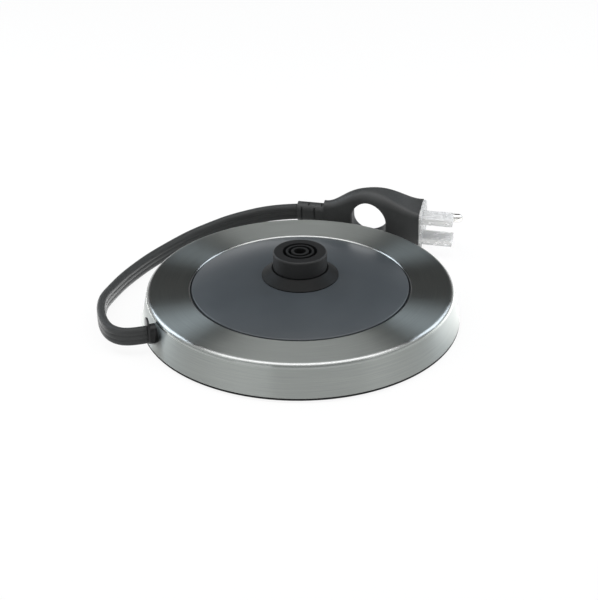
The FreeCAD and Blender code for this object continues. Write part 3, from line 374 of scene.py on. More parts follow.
def extrudedJacket(s):
    material, tree, shader = startMaterial("blackPvcJacketExtruded", {
        "IOR": s["ior"], "Specular IOR Level": s["specular"]})
    skin = addNode(tree, "ShaderNodeAttribute", {"attribute_name": "jacketPlace"})
    perMetre = (1 / (s["lineSpacing"] * mm), 1 / (s["lineLength"] * mm), 1.0)
    drawn = addNode(tree, "ShaderNodeMapping", {"Scale": perMetre}, {"Vector": skin.outputs["Vector"]})
    lines = addNode(tree, "ShaderNodeTexNoise", {
        "Scale": 1.0, "Detail": s["lineDetail"], "Roughness": s["lineRoughness"]},
        {"Vector": drawn.outputs[0]})
    colour, rough = spreadLook(tree, s, lines.outputs["Fac"], lines.outputs["Fac"])
    bump = addNode(tree, "ShaderNodeBump", {"Strength": s["lineStrength"], "Distance": s["lineDepth"] * mm},
                   {"Height": lines.outputs["Fac"]})
    wireShader(tree, shader, {"Base Color": colour, "Roughness": rough, "Normal": bump.outputs["Normal"]})
    return material


steel = brushedSteel(steelLook)
plastics = {name: mouldedPlastic(name, {**plasticShared, **look}) for name, look in plasticLooks.items()}
metals = {name: rolledMetal(name, {**metalShared, **look}) for name, look in metalLooks.items()}
clearPvc = clearPlastic(clearLook)
jacket = extrudedJacket(cordLook)
nodeFinish = {
    "steel_shell": steel,
    "deck": plastics["slateAbsSatinMoulded"],
    "connector_hub": plastics["blackNylonMoulded"],
    "connector_collar": plastics["blackNylonMattShaded"],
    "base_pan": plastics["charcoalPolypropyleneMoulded"],
    "contact_carrier": plastics["ivoryPbtMoulded"],
    "cord_clamp": plastics["ivoryPbtMoulded"],
    "cord_grommet": plastics["blackNylonMoulded"],
    "plug_body": plastics["blackPvcOvermoulded"],
    "plug_bridge": plastics["blackNylonMoulded"],
    "plug_blade_live": metals["nickelPlatedBrassStamped"],
    "plug_blade_neutral": metals["nickelPlatedBrassStamped"],
    "plug_ground_pin": metals["nickelPlatedBrassStamped"],
    "blade_cover": clearPvc,
    "inner_cord": plastics["blackPvcOvermoulded"],
}
for lead, finish in (("live", "blackWirePvcExtruded"), ("neutral", "whiteWirePvcExtruded"),
                     ("earth", "greenWirePvcExtruded")):
    nodeFinish[f"{lead}_contact"] = metals["phosphorBronzeRolled"]
    nodeFinish[f"{lead}_terminal"] = metals["phosphorBronzeRolled"]
    nodeFinish[f"{lead}_lead"] = plastics[finish]
for screws in ("pan_screws", "connector_screws", "carrier_screws", "cord_clamp_screws"):
    nodeFinish[screws] = metals["zincPlatedSteel"]
for index in range(1, 5):
    nodeFinish[f"rubber_foot_{index}"] = plastics["blackRubberPressed"]
for name, material in nodeFinish.items():
    for slot in nodes[name].material_slots:
        slot.material = material
print("materials:", len(bpy.data.materials), "made,", len(nodeFinish), "solids finished")


# geometry nodes

def startTree(name, inputs):
    tree = bpy.data.node_groups.new(name, "GeometryNodeTree")
    tree.interface.new_socket("Geometry", in_out="INPUT", socket_type="NodeSocketGeometry")
    for label, kind in inputs.items():
        tree.interface.new_socket(label, in_out="INPUT", socket_type=kind)
    tree.interface.new_socket("Geometry", in_out="OUTPUT", socket_type="NodeSocketGeometry")
    source = tree.nodes.new("NodeGroupInput")
    sink = tree.nodes.new("NodeGroupOutput")
    return tree, source.outputs, sink.inputs


def endTree(tree, result, shape, finish):
    real = addNode(tree, "GeometryNodeRealizeInstances", None, {0: shape})
    dressed = addNode(tree, "GeometryNodeSetMaterial", {"Material": finish}, {"Geometry": real.outputs[0]})
    tree.links.new(dressed.outputs[0], result["Geometry"])


def runTree(carrier, tree, values, name):
    modifier = carrier.modifiers.new(tree.name, "NODES")
    modifier.node_group = tree
    for item in tree.interface.items_tree:
        if item.in_out == "INPUT" and item.name in values:
            modifier[item.identifier] = values[item.name]
    view = bpy.context.evaluated_depsgraph_get()
    mesh = bpy.data.meshes.new_from_object(carrier.evaluated_get(view), depsgraph=view)
    mesh.name = name
    carrier.modifiers.remove(modifier)
    piece = bpy.data.objects.new(name, mesh)
    scene.collection.objects.link(piece)
    return piece


# steel shell, an outline turned round the middle of the base

def roundedOutline(corners, steps, hold):
    points = []
    count = len(corners)
    for i, (r, z, rounding) in enumerate(corners):
        here = Vector((r, z))
        back = Vector(corners[i - 1][:2]) - here
        on = Vector(corners[(i + 1) % count][:2]) - here
        back.normalize()
        on.normalize()
        half = back.angle(on) / 2
        reach = rounding / math.tan(half)
        middle = here + (back + on).normalized() * (rounding / math.sin(half))
        first = here + back * reach - middle
        turn = first.angle_signed(here + on * reach - middle)
        points.append(here + back * (reach + hold))
        for step in range(steps + 1):
            points.append(middle + Matrix.Rotation(-turn * step / steps, 2) @ first)
        points.append(here + on * (reach + hold))
    points.append(points[0])
    return [(p.x * mm, 0.0, p.y * mm) for p in points]


def turnedTree(finish):
    tree, given, result = startTree("turnedPiece", {"Segments": "NodeSocketInt", "Seam": "NodeSocketFloat"})
    outline = addNode(tree, "GeometryNodeAttributeDomainSize", None, {"Geometry": given["Geometry"]})
    rows = outline.outputs["Point Count"]
    # one column more than segments, the last lies on the first and is joined to it
    columns = addNode(tree, "ShaderNodeMath", {"operation": "ADD", 1: 1.0}, {0: given["Segments"]})
    grid = addNode(tree, "GeometryNodeMeshGrid", None,
                   {"Vertices X": columns.outputs[0], "Vertices Y": rows})
    index = addNode(tree, "GeometryNodeInputIndex")
    share = addNode(tree, "ShaderNodeMath", {"operation": "DIVIDE"}, {0: index.outputs[0], 1: rows})
    column = addNode(tree, "ShaderNodeMath", {"operation": "FLOOR"}, {0: share.outputs[0]})
    row = addNode(tree, "ShaderNodeMath", {"operation": "MODULO"}, {0: index.outputs[0], 1: rows})
    part = addNode(tree, "ShaderNodeMath", {"operation": "DIVIDE"},
                   {0: column.outputs[0], 1: given["Segments"]})
    angle = addNode(tree, "ShaderNodeMath", {"operation": "MULTIPLY", 1: math.tau}, {0: part.outputs[0]})
    here = addNode(tree, "GeometryNodeInputPosition")
    taken = addNode(tree, "GeometryNodeSampleIndex", {"data_type": "FLOAT_VECTOR"},
                    {"Geometry": given["Geometry"], "Value": here.outputs[0], "Index": row.outputs[0]})
    turned = addNode(tree, "ShaderNodeVectorRotate", {"rotation_type": "Z_AXIS"},
                     {"Vector": taken.outputs[0], "Angle": angle.outputs[0]})
    placed = addNode(tree, "GeometryNodeSetPosition", None,
                     {"Geometry": grid.outputs["Mesh"], "Position": turned.outputs[0]})
    closed = addNode(tree, "GeometryNodeMergeByDistance", None,
                     {"Geometry": placed.outputs[0], "Distance": given["Seam"]})
    smooth = addNode(tree, "GeometryNodeSetShadeSmooth", None, {0: closed.outputs[0]})
    endTree(tree, result, smooth.outputs[0], finish)
    return tree


def faceOutwards(piece):
    work = bmesh.new()
    work.from_mesh(piece.data)
    bmesh.ops.recalc_face_normals(work, faces=work.faces)
    work.to_mesh(piece.data)
    work.free()


shellSettings = {
    "corners": [  # mm: radius, height, rounding
        (80.0, 2.2, 0.12), (76.4, 18.5, 2.4), (54.8, 18.5, 1.2), (54.8, 16.5, 0.12),
        (55.4, 16.5, 0.12), (55.4, 17.9, 0.6), (75.8, 17.9, 1.8), (79.4, 2.2, 0.12),
    ],
    "steps": 12,
    "hold": 0.05,  # mm, an extra point beside each rounding keeps the flat flat
    "segments": 288,
    "seam": 0.002,  # mm, points nearer than this become one
}


def makeShell(s):
    mesh = bpy.data.meshes.new("spunShell")
    outline = roundedOutline(s["corners"], s["steps"], s["hold"])
    mesh.from_pydata(outline, [(i, i + 1) for i in range(len(outline) - 1)], [])
    carrier = bpy.data.objects.new("spunShell", mesh)
    scene.collection.objects.link(carrier)
    piece = runTree(carrier, turnedTree(steel), {
        "Segments": s["segments"], "Seam": s["seam"] * mm}, "spunShell")
    bpy.data.objects.remove(carrier)
    faceOutwards(piece)
    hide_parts("steel_shell")
    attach(piece, "base")
    return piece


spunShell = makeShell(shellSettings)
print("shell:", len(spunShell.data.polygons), "faces")


# pieces whose moulded edges are softer than the solid's

softShared = {
    "steps": 3,
    "weld": 0.001,  # mm, points nearer than this become one
    "flatAngle": 0.5,  # degrees, faces that turn less become one
    "bevelAngle": 40,  # degrees, edges that turn more are rounded
    "sharpAngle": 50,  # degrees, edges that turn more after that are shaded sharp
}
softSettings = {  # width in mm
    "blade_cover": {"name": "softCover", "width": 0.45, "body": "cover", "slot": "cover_plastic"},
    "cord_grommet": {"name": "softGland", "width": 0.35, "body": "base", "slot": "grommet_plastic"},
}


def softenedCopy(node, s):
    mesh = nodes[node].data.copy()
    mesh.name = s["name"]
    mesh.transform(nodes[node].matrix_world)
    work = bmesh.new()
    work.from_mesh(mesh)
    bmesh.ops.remove_doubles(work, verts=work.verts, dist=s["weld"] * mm)
    flat = math.radians(s["flatAngle"])
    bmesh.ops.dissolve_limit(work, angle_limit=flat, verts=work.verts, edges=work.edges)
    work.to_mesh(mesh)
    work.free()
    piece = bpy.data.objects.new(s["name"], mesh)
    scene.collection.objects.link(piece)
    bevel = piece.modifiers.new("softEdge", "BEVEL")
    bevel.width = s["width"] * mm
    bevel.segments = s["steps"]
    bevel.limit_method = "ANGLE"
    bevel.angle_limit = math.radians(s["bevelAngle"])
    bevel.use_clamp_overlap = True
    view = bpy.context.evaluated_depsgraph_get()
    rounded = bpy.data.meshes.new_from_object(piece.evaluated_get(view), depsgraph=view)
    piece.modifiers.remove(bevel)
    piece.data = rounded
    rounded.shade_smooth()
    rounded.set_sharp_from_angle(angle=math.radians(s["sharpAngle"]))
    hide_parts(node)
    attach(piece, s["body"])
    return piece


softCover = softenedCopy("blade_cover", {**softShared, **softSettings["blade_cover"]})
softGland = softenedCopy("cord_grommet", {**softShared, **softSettings["cord_grommet"]})
print("softened:", len(softCover.data.polygons), "and", len(softGland.data.polygons), "faces")


# flat three-core cord, standing on its edge from the gland round to the plug

cordSettings = {
    "route": [
        (-0.0741, -0.0334, 0.0100), (-0.0826, -0.0360, 0.0097), (-0.0912, -0.0322, 0.0094),
        (-0.0965, -0.0220, 0.0087), (-0.0995, -0.0084, 0.0080), (-0.0999, 0.0048, 0.0071),
        (-0.0972, 0.0171, 0.0056), (-0.0931, 0.0299, 0.0051), (-0.0875, 0.0420, 0.00485),
        (-0.0808, 0.0540, 0.00485), (-0.0718, 0.0654, 0.0055), (-0.0609, 0.0764, 0.0070),
        (-0.0490, 0.0836, 0.0090), (-0.0362, 0.0880, 0.0120), (-0.0144, 0.0918, 0.0156),
        (-0.00075, 0.0887, 0.0172),
    ],
    "length": 0.2035,  # m along the route
    "width": 0.0093,
    "coreRadius": 0.0022,
    "coreSpacing": 0.00245,
    "lean": 8.0,  # degrees, taken up over the last stretch before the plug
    "leanFrom": 0.8,  # share of the length
    "sidePoints": 96,
    "stepsPerPoint": 14,
}


def routeCurve(route, steps):
    data = bpy.data.curves.new("cordRoute", "CURVE")
    data.dimensions = "3D"
    data.twist_mode = "Z_UP"
    data.resolution_u = steps
    spline = data.splines.new("NURBS")
    spline.points.add(len(route) - 1)
    for point, place in zip(spline.points, route):
        point.co = (*place, 1.0)
    spline.order_u = 3  # stays near its points
    spline.use_endpoint_u = True
    spline.resolution_u = steps
    carrier = bpy.data.objects.new("cordRoute", data)
    scene.collection.objects.link(carrier)
    return carrier


def pointsAlong(carrier):
    view = bpy.context.evaluated_depsgraph_get()
    line = bpy.data.meshes.new_from_object(carrier.evaluated_get(view), depsgraph=view)
    return [tuple(v.co) for v in line.vertices]


def flatCordTree(finish):
    tree, given, result = startTree("flatCord", {
        "Core Radius": "NodeSocketFloat", "Core Spacing": "NodeSocketFloat", "Side Points": "NodeSocketInt",
        "Lean": "NodeSocketFloat", "Lean From": "NodeSocketFloat"})
    # section: three round cores side by side, webs between them
    ring = addNode(tree, "GeometryNodeCurvePrimitiveCircle", {"Radius": 1.0},
                   {"Resolution": given["Side Points"]})
    here = addNode(tree, "GeometryNodeInputPosition")
    unit = addNode(tree, "ShaderNodeSeparateXYZ", None, {0: here.outputs[0]})
    half = addNode(tree, "ShaderNodeMath", {"operation": "ADD"},
                   {0: given["Core Radius"], 1: given["Core Spacing"]})
    across = addNode(tree, "ShaderNodeMath", {"operation": "MULTIPLY"},
                     {0: unit.outputs["X"], 1: half.outputs[0]})
    steps = addNode(tree, "ShaderNodeMath", {"operation": "DIVIDE"},
                    {0: across.outputs[0], 1: given["Core Spacing"]})
    nearest = addNode(tree, "ShaderNodeMath", {"operation": "ROUND"}, {0: steps.outputs[0]})
    core = addNode(tree, "ShaderNodeClamp", {"Min": -1.0, "Max": 1.0}, {"Value": nearest.outputs[0]})
    middle = addNode(tree, "ShaderNodeMath", {"operation": "MULTIPLY"},
                     {0: core.outputs[0], 1: given["Core Spacing"]})
    off = addNode(tree, "ShaderNodeMath", {"operation": "SUBTRACT"},
                  {0: across.outputs[0], 1: middle.outputs[0]})
    offSquare = addNode(tree, "ShaderNodeMath", {"operation": "MULTIPLY"},
                        {0: off.outputs[0], 1: off.outputs[0]})
    coreSquare = addNode(tree, "ShaderNodeMath", {"operation": "MULTIPLY"},
                         {0: given["Core Radius"], 1: given["Core Radius"]})
    rest = addNode(tree, "ShaderNodeMath", {"operation": "SUBTRACT"},
                   {0: coreSquare.outputs[0], 1: offSquare.outputs[0]})
    notBelowZero = addNode(tree, "ShaderNodeMath", {"operation": "MAXIMUM", 1: 0.0}, {0: rest.outputs[0]})
    height = addNode(tree, "ShaderNodeMath", {"operation": "SQRT"}, {0: notBelowZero.outputs[0]})
    side = addNode(tree, "ShaderNodeMath", {"operation": "SIGN"}, {0: unit.outputs["Y"]})
    signed = addNode(tree, "ShaderNodeMath", {"operation": "MULTIPLY"},
                     {0: height.outputs[0], 1: side.outputs[0]})
    outline = addNode(tree, "ShaderNodeCombineXYZ", None, {"X": signed.outputs[0], "Y": across.outputs[0]})
    section = addNode(tree, "GeometryNodeSetPosition", None,
                      {"Geometry": ring.outputs[0], "Position": outline.outputs[0]})
    # lean eased in towards the plug
    along = addNode(tree, "GeometryNodeSplineParameter")
    ease = addNode(tree, "ShaderNodeMapRange", {"interpolation_type": "SMOOTHSTEP", "From Max": 1.0}, {
        "Value": along.outputs["Factor"], "From Min": given["Lean From"], "To Max": given["Lean"]})
    leaned = addNode(tree, "GeometryNodeSetCurveTilt", None,
                     {"Curve": given["Geometry"], "Tilt": ease.outputs[0]})
    alongKept = addNode(tree, "GeometryNodeCaptureAttribute", None, {"Geometry": leaned.outputs[0]})
    alongKept.capture_items.new("FLOAT", "Along")
    tree.links.new(along.outputs["Length"], alongKept.inputs["Along"])
    aroundKept = addNode(tree, "GeometryNodeCaptureAttribute", None, {"Geometry": section.outputs[0]})
    aroundKept.capture_items.new("FLOAT", "Around")
    tree.links.new(along.outputs["Length"], aroundKept.inputs["Around"])
    swept = addNode(tree, "GeometryNodeCurveToMesh", {"Fill Caps": True},
                    {"Curve": alongKept.outputs["Geometry"], "Profile Curve": aroundKept.outputs["Geometry"]})
    spot = addNode(tree, "ShaderNodeCombineXYZ", None,
                   {"X": aroundKept.outputs["Around"], "Y": alongKept.outputs["Along"]})
    marked = addNode(tree, "GeometryNodeStoreNamedAttribute",
                     {"data_type": "FLOAT_VECTOR", "domain": "POINT", "Name": "jacketPlace"},
                     {"Geometry": swept.outputs[0], "Value": spot.outputs[0]})
    smooth = addNode(tree, "GeometryNodeSetShadeSmooth", None, {0: marked.outputs[0]})
    endTree(tree, result, smooth.outputs[0], finish)
    return tree


def makeCord(s):
    carrier = routeCurve(s["route"], s["stepsPerPoint"])
    line = pointsAlong(carrier)
    piece = runTree(carrier, flatCordTree(jacket), {
        "Core Radius": s["coreRadius"], "Core Spacing": s["coreSpacing"], "Side Points": s["sidePoints"],
        "Lean": math.radians(s["lean"]), "Lean From": s["leanFrom"]}, "flatCord")
    bpy.data.objects.remove(carrier)
    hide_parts("power_cord")
    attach(piece, "base")
    return piece


flatCord = makeCord(cordSettings)
print("cord:", len(flatCord.data.polygons), "faces")


# cord and leads inside the base

sheathSettings = {
    "route": [
        (-0.066067, -0.030944, 0.0100), (-0.0598515, -0.0290435, 0.0100), (-0.053636, -0.027143, 0.0100),
    ],
    "stepsPerPoint": 4,
}
leadSettings = {
    "radius": 0.0012,
    "sidePoints": 24,
    "stepsPerPoint": 10,
    "routes": {
        "live": [(0.0240, 0.0, 0.0146), (0.0315, -0.0004, 0.0140), (0.0385, -0.0042, 0.0130),
                 (0.0420, -0.0125, 0.0118), (0.0400, -0.0235, 0.0106), (0.0310, -0.0340, 0.0094),
                 (0.0150, -0.0410, 0.0084), (-0.0040, -0.0425, 0.0078), (-0.0210, -0.0380, 0.0074),
                 (-0.0345, -0.0305, 0.0073), (-0.04599, -0.0248, 0.00755), (-0.05364, -0.02714, 0.00755)],
        "neutral": [(-0.0240, 0.0050, 0.0146), (-0.0310, 0.0043, 0.0142), (-0.0365, -0.0005, 0.0137),
                    (-0.0400, -0.0080, 0.0132), (-0.0420, -0.0160, 0.0128), (-0.04599, -0.0248, 0.01245),
                    (-0.05364, -0.02714, 0.01245)],
        "earth": [(0.0240, -0.0076, 0.0146), (0.0304, -0.0081, 0.0140), (0.0362, -0.0124, 0.0134),
                  (0.0370, -0.0195, 0.0127), (0.0325, -0.0260, 0.0120), (0.0220, -0.0310, 0.0114),
                  (0.0050, -0.0350, 0.0108), (-0.0130, -0.0330, 0.0103), (-0.0290, -0.0275, 0.0101),
                  (-0.04599, -0.0248, 0.0100), (-0.05364, -0.02714, 0.0100)],
    },
}


def roundLeadTree(finish):
    tree, given, result = startTree("roundLead", {
        "Radius": "NodeSocketFloat", "Side Points": "NodeSocketInt"})
    section = addNode(tree, "GeometryNodeCurvePrimitiveCircle", None,
                      {"Radius": given["Radius"], "Resolution": given["Side Points"]})
    swept = addNode(tree, "GeometryNodeCurveToMesh", {"Fill Caps": True},
                    {"Curve": given["Geometry"], "Profile Curve": section.outputs[0]})
    smooth = addNode(tree, "GeometryNodeSetShadeSmooth", None, {0: swept.outputs[0]})
    endTree(tree, result, smooth.outputs[0], finish)
    return tree


def makeSheath(s, cord):
    carrier = routeCurve(s["route"], s["stepsPerPoint"])
    piece = runTree(carrier, flatCordTree(jacket), {
        "Core Radius": cord["coreRadius"], "Core Spacing": cord["coreSpacing"],
        "Side Points": cord["sidePoints"], "Lean": 0.0, "Lean From": cord["leanFrom"]}, "innerSheath")
    bpy.data.objects.remove(carrier)
    faceOutwards(piece)
    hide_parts("inner_cord")
    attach(piece, "base")


def makeLead(lead, s):
    carrier = routeCurve(s["routes"][lead], s["stepsPerPoint"])
    finish = nodeFinish[f"{lead}_lead"]
    piece = runTree(carrier, roundLeadTree(finish), {"Radius": s["radius"], "Side Points": s["sidePoints"]},
                    f"{lead}Wire")
    bpy.data.objects.remove(carrier)
    faceOutwards(piece)
    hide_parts(f"{lead}_lead")
    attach(piece, "base")


makeSheath(sheathSettings, cordSettings)
for lead in leadSettings["routes"]:
    makeLead(lead, leadSettings)
print("inside: sheath and", len(leadSettings["routes"]), "leads")


# screws with a cross recess, heads down

screwSettings = {  # mm, places by radius and degrees
    "pan_screws": {
        "places": [(65.5, 0), (65.5, 90), (65.5, 180), (65.5, 270)], "seat": 3.4,
        "headRadius": 3.0, "headHeight": 1.8, "shankRadius": 1.4, "shankLength": 11.0},
    "connector_screws": {
        "places": [(24.5, 70), (24.5, 190), (24.5, 310)], "seat": 17.2,
        "headRadius": 2.6, "headHeight": 1.8, "shankRadius": 1.3, "shankLength": 5.1},
    "carrier_screws": {
        "places": [(14.0, 80), (14.0, 260)], "seat": 10.2,
        "headRadius": 2.0, "headHeight": 1.4, "shankRadius": 1.1, "shankLength": 9.0},
}
screwShared = {
    "headSides": 48,
    "shankSides": 32,
    "overlap": 0.2,  # mm of shank inside the head
    "barLength": 1.1,  # bars of the cross: length and width by the head's radius, depth by its height
    "barWidth": 0.24,
    "barDepth": 1.2,
}


def screwTree(finish, s):
    tree, given, result = startTree("crossScrew", {
        "Head Radius": "NodeSocketFloat", "Head Height": "NodeSocketFloat",
        "Shank Radius": "NodeSocketFloat", "Shank Length": "NodeSocketFloat"})
    head = addNode(tree, "GeometryNodeMeshCylinder", {"Vertices": s["headSides"]},
                   {"Radius": given["Head Radius"], "Depth": given["Head Height"]})
    drop = addNode(tree, "ShaderNodeMath", {"operation": "MULTIPLY", 1: -0.5}, {0: given["Head Height"]})
    headPlace = addNode(tree, "ShaderNodeCombineXYZ", None, {"Z": drop.outputs[0]})
    headMoved = addNode(tree, "GeometryNodeTransform", None,
                        {"Geometry": head.outputs["Mesh"], "Translation": headPlace.outputs[0]})
    overlap = s["overlap"] * mm
    sunk = addNode(tree, "ShaderNodeMath", {"operation": "ADD", 1: overlap}, {0: given["Shank Length"]})
    shank = addNode(tree, "GeometryNodeMeshCylinder", {"Vertices": s["shankSides"]},
                    {"Radius": given["Shank Radius"], "Depth": sunk.outputs[0]})
    middle = addNode(tree, "ShaderNodeMath", {"operation": "MULTIPLY", 1: 0.5}, {0: given["Shank Length"]})
    lowered = addNode(tree, "ShaderNodeMath", {"operation": "SUBTRACT", 1: overlap / 2},
                      {0: middle.outputs[0]})
    shankPlace = addNode(tree, "ShaderNodeCombineXYZ", None, {"Z": lowered.outputs[0]})
    shankMoved = addNode(tree, "GeometryNodeTransform", None,
                         {"Geometry": shank.outputs["Mesh"], "Translation": shankPlace.outputs[0]})
    whole = addNode(tree, "GeometryNodeMeshBoolean", {"operation": "UNION", "solver": "EXACT"})
    tree.links.new(headMoved.outputs[0], whole.inputs["Mesh 2"])
    tree.links.new(shankMoved.outputs[0], whole.inputs["Mesh 2"])
    wide = addNode(tree, "ShaderNodeMath", {"operation": "MULTIPLY", 1: s["barLength"]},
                   {0: given["Head Radius"]})
    thin = addNode(tree, "ShaderNodeMath", {"operation": "MULTIPLY", 1: s["barWidth"]},
                   {0: given["Head Radius"]})
    deep = addNode(tree, "ShaderNodeMath", {"operation": "MULTIPLY", 1: s["barDepth"]},
                   {0: given["Head Height"]})
    depth = addNode(tree, "ShaderNodeMath", {"operation": "MULTIPLY", 1: -1.0}, {0: given["Head Height"]})
    recessPlace = addNode(tree, "ShaderNodeCombineXYZ", None, {"Z": depth.outputs[0]})
    cut = addNode(tree, "GeometryNodeMeshBoolean", {"operation": "DIFFERENCE", "solver": "EXACT"},
                  {"Mesh 1": whole.outputs[0]})
    for first, second in ((wide, thin), (thin, wide)):
        size = addNode(tree, "ShaderNodeCombineXYZ", None,
                       {"X": first.outputs[0], "Y": second.outputs[0], "Z": deep.outputs[0]})
        bar = addNode(tree, "GeometryNodeMeshCube", None, {"Size": size.outputs[0]})
        moved = addNode(tree, "GeometryNodeTransform", None,
                        {"Geometry": bar.outputs["Mesh"], "Translation": recessPlace.outputs[0]})
        tree.links.new(moved.outputs[0], cut.inputs["Mesh 2"])
    copies = addNode(tree, "GeometryNodeInstanceOnPoints", None,
                     {"Points": given["Geometry"], "Instance": cut.outputs[0]})
    endTree(tree, result, copies.outputs[0], finish)
    return tree


def makeScrews(node, s):
    seats = []
    for radius, angle in s["places"]:
        turn = math.radians(angle)
        seats.append((radius * math.cos(turn) * mm, radius * math.sin(turn) * mm, s["seat"] * mm))
    mesh = bpy.data.meshes.new(node)
    mesh.from_pydata(seats, [], [])
    carrier = bpy.data.objects.new(node, mesh)
    scene.collection.objects.link(carrier)
    piece = runTree(carrier, screwTree(metals["zincPlatedSteel"], s), {
        "Head Radius": s["headRadius"] * mm, "Head Height": s["headHeight"] * mm,
        "Shank Radius": s["shankRadius"] * mm, "Shank Length": s["shankLength"] * mm}, f"crossed_{node}")
    bpy.data.objects.remove(carrier)
    faceOutwards(piece)
    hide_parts(node)
    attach(piece, "base")


for node, settings in screwSettings.items():
    makeScrews(node, {**screwShared, **settings})
print("screws:", sum(len(s["places"]) for s in screwSettings.values()), "with a cross recess")


# floor, world and lamps

floorSettings = {
    "size": 6.0,
    "colour": "#FAFAFA",
    "glow": 0.90,  # share of plain light in what the camera, reflections and the clear cover see of the floor
    # that light in reflections, m from front to back: a painted pool of light, the floor glowing brighter in
    # a strip behind the object
    "reach": 0.2,
    "paintedLightStrip": [(-0.034, 1.18), (0.010, 4.4), (0.032, 4.4), (0.072, 1.1)],
}


def addFloor(s):
    half = s["size"] / 2
    corners = [(-half, -half, 0), (half, -half, 0), (half, half, 0), (-half, half, 0)]
    mesh = bpy.data.meshes.new("studioFloor")
    mesh.from_pydata(corners, [], [(0, 1, 2, 3)])
    floor = bpy.data.objects.new("studioFloor", mesh)
    scene.collection.objects.link(floor)
    # white paper rolled out flat
    material = bpy.data.materials.new("whitePaperSweep")
    material.use_nodes = True
    tree = material.node_tree
    tree.nodes.clear()
    paper = addNode(tree, "ShaderNodeBsdfDiffuse", {"Color": linear(s["colour"])})
    ray = addNode(tree, "ShaderNodeLightPath")
    place = addNode(tree, "ShaderNodeTexCoord")
    split = addNode(tree, "ShaderNodeSeparateXYZ", None, {0: place.outputs["Object"]})
    reach = s["reach"]
    across = addNode(tree, "ShaderNodeMapRange", {"From Min": -reach, "From Max": reach},
                     {"Value": split.outputs["Y"]})
    # painted pool of light: in reflections only, the floor glows brighter in a strip behind the object
    paintedPool = addNode(tree, "ShaderNodeValToRGB", None, {"Fac": across.outputs[0]})
    setStops(paintedPool, [((y + reach) / (2 * reach), grey(level)) for y, level in s["paintedLightStrip"]])
    poolInReflections = addNode(tree, "ShaderNodeMix", {"data_type": "FLOAT", 2: 1.0},
                     {0: ray.outputs["Is Glossy Ray"], 3: paintedPool.outputs["Color"]})
    glow = addNode(tree, "ShaderNodeEmission", None, {"Strength": poolInReflections.outputs[0]})
    mirrored = addNode(tree, "ShaderNodeMath", {"operation": "MAXIMUM"},
                       {0: ray.outputs["Is Camera Ray"], 1: ray.outputs["Is Glossy Ray"]})
    seen = addNode(tree, "ShaderNodeMath", {"operation": "MAXIMUM"},
                   {0: mirrored.outputs[0], 1: ray.outputs["Is Transmission Ray"]})
    share = addNode(tree, "ShaderNodeMath", {"operation": "MULTIPLY", 1: s["glow"]}, {0: seen.outputs[0]})
    mixed = addNode(tree, "ShaderNodeMixShader", None,
                    {0: share.outputs[0], 1: paper.outputs[0], 2: glow.outputs[0]})
    addNode(tree, "ShaderNodeOutputMaterial", None, {"Surface": mixed.outputs[0]})
    mesh.materials.append(material)


worldSettings = {
    # sky by height, 0 at the horizon and 1 overhead, before and behind the object
    "skyFront": [(0.0, 0.65), (0.30, 0.5), (0.40, 0.35), (0.46, 0.4), (0.66, 0.4), (0.74, 0.3), (0.86, 0.6),
                 (1.0, 0.9)],
    "skyBack": [(0.0, 1.3), (0.06, 1.1), (0.14, 0.26), (0.34, 0.22), (0.44, 0.04), (0.70, 0.03), (0.86, 0.22),
                (1.0, 0.6)],
    "blend": 0.35,  # how far to the back the one has passed into the other
}


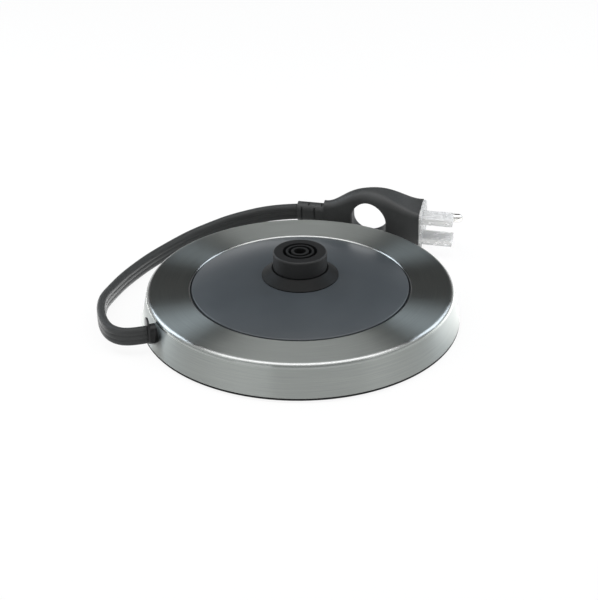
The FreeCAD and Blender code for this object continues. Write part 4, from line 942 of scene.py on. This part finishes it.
def addWorld(s):
    world = bpy.data.worlds.new("softStudio")
    world.use_nodes = True
    tree = world.node_tree
    tree.nodes.clear()
    way = addNode(tree, "ShaderNodeTexCoord")
    split = addNode(tree, "ShaderNodeSeparateXYZ", None, {0: way.outputs["Generated"]})
    ramps = []
    for stops in (s["skyFront"], s["skyBack"]):
        ramp = addNode(tree, "ShaderNodeValToRGB", None, {"Fac": split.outputs["Z"]})
        setStops(ramp, [(height, grey(level)) for height, level in stops])
        ramps.append(ramp.outputs["Color"])
    behind = addNode(tree, "ShaderNodeMapRange", {"From Min": 0.0, "From Max": s["blend"]},
                     {"Value": split.outputs["Y"]})
    level = addNode(tree, "ShaderNodeMix", {"data_type": "RGBA"},
                    {0: behind.outputs[0], 6: ramps[0], 7: ramps[1]})
    sky = addNode(tree, "ShaderNodeBackground", {"Strength": 1.0}, {"Color": level.outputs[2]})
    white = addNode(tree, "ShaderNodeBackground", {"Color": grey(1.0), "Strength": 1.0})
    ray = addNode(tree, "ShaderNodeLightPath")
    seen = addNode(tree, "ShaderNodeMixShader", None,
                   {0: ray.outputs["Is Camera Ray"], 1: sky.outputs[0], 2: white.outputs[0]})
    addNode(tree, "ShaderNodeOutputWorld", None, {"Surface": seen.outputs[0]})
    scene.world = world


lampSettings = {
    "topSoftbox": {
        "place": (0.0, -0.10, 0.92), "aim": (0.0, 0.0, 0.0),
        "size": (1.60, 0.60), "watts": 6.4, "colour": "#FFFFFF"},
    "leftSoftbox": {
        "place": (-0.48, 0.275, 0.36), "aim": (0.0, 0.0, 0.02),
        "size": (0.34, 0.34), "watts": 1.15, "colour": "#EAF5FF"},
    "rightSoftbox": {
        "place": (0.48, 0.275, 0.36), "aim": (0.0, 0.0, 0.02),
        "size": (0.34, 0.34), "watts": 1.0, "colour": "#EAF5FF"},
    "leftPanel": {
        "place": (-0.64, -0.23, 0.42), "aim": (0.0, 0.0, 0.02),
        "size": (0.60, 0.24), "watts": 0.32, "colour": "#FFFFFF"},
    "rightPanel": {
        "place": (0.64, -0.23, 0.42), "aim": (0.0, 0.0, 0.02),
        "size": (0.60, 0.24), "watts": 0.32, "colour": "#FFFFFF"},
    "frontPanel": {
        "place": (-0.42, -0.68, 0.22), "aim": (0.0, 0.0, 0.02),
        "size": (0.36, 0.36), "watts": 0.26, "colour": "#FFFFFF"},
}


def addLamp(name, s):
    data = bpy.data.lights.new(name, "AREA")
    data.shape = "RECTANGLE"
    data.size = s["size"][0]
    data.size_y = s["size"][1]
    data.energy = s["watts"]
    data.color = linear(s["colour"])[:3]
    lamp = bpy.data.objects.new(name, data)
    scene.collection.objects.link(lamp)
    place = Vector(s["place"])
    turn = (Vector(s["aim"]) - place).to_track_quat("-Z", "Y")
    lamp.matrix_world = Matrix.Translation(place) @ turn.to_matrix().to_4x4()


addFloor(floorSettings)
addWorld(worldSettings)
for name, settings in lampSettings.items():
    addLamp(name, settings)
scene.view_settings.view_transform = "Standard"
print("stage: floor, world and", len(lampSettings), "lamps")
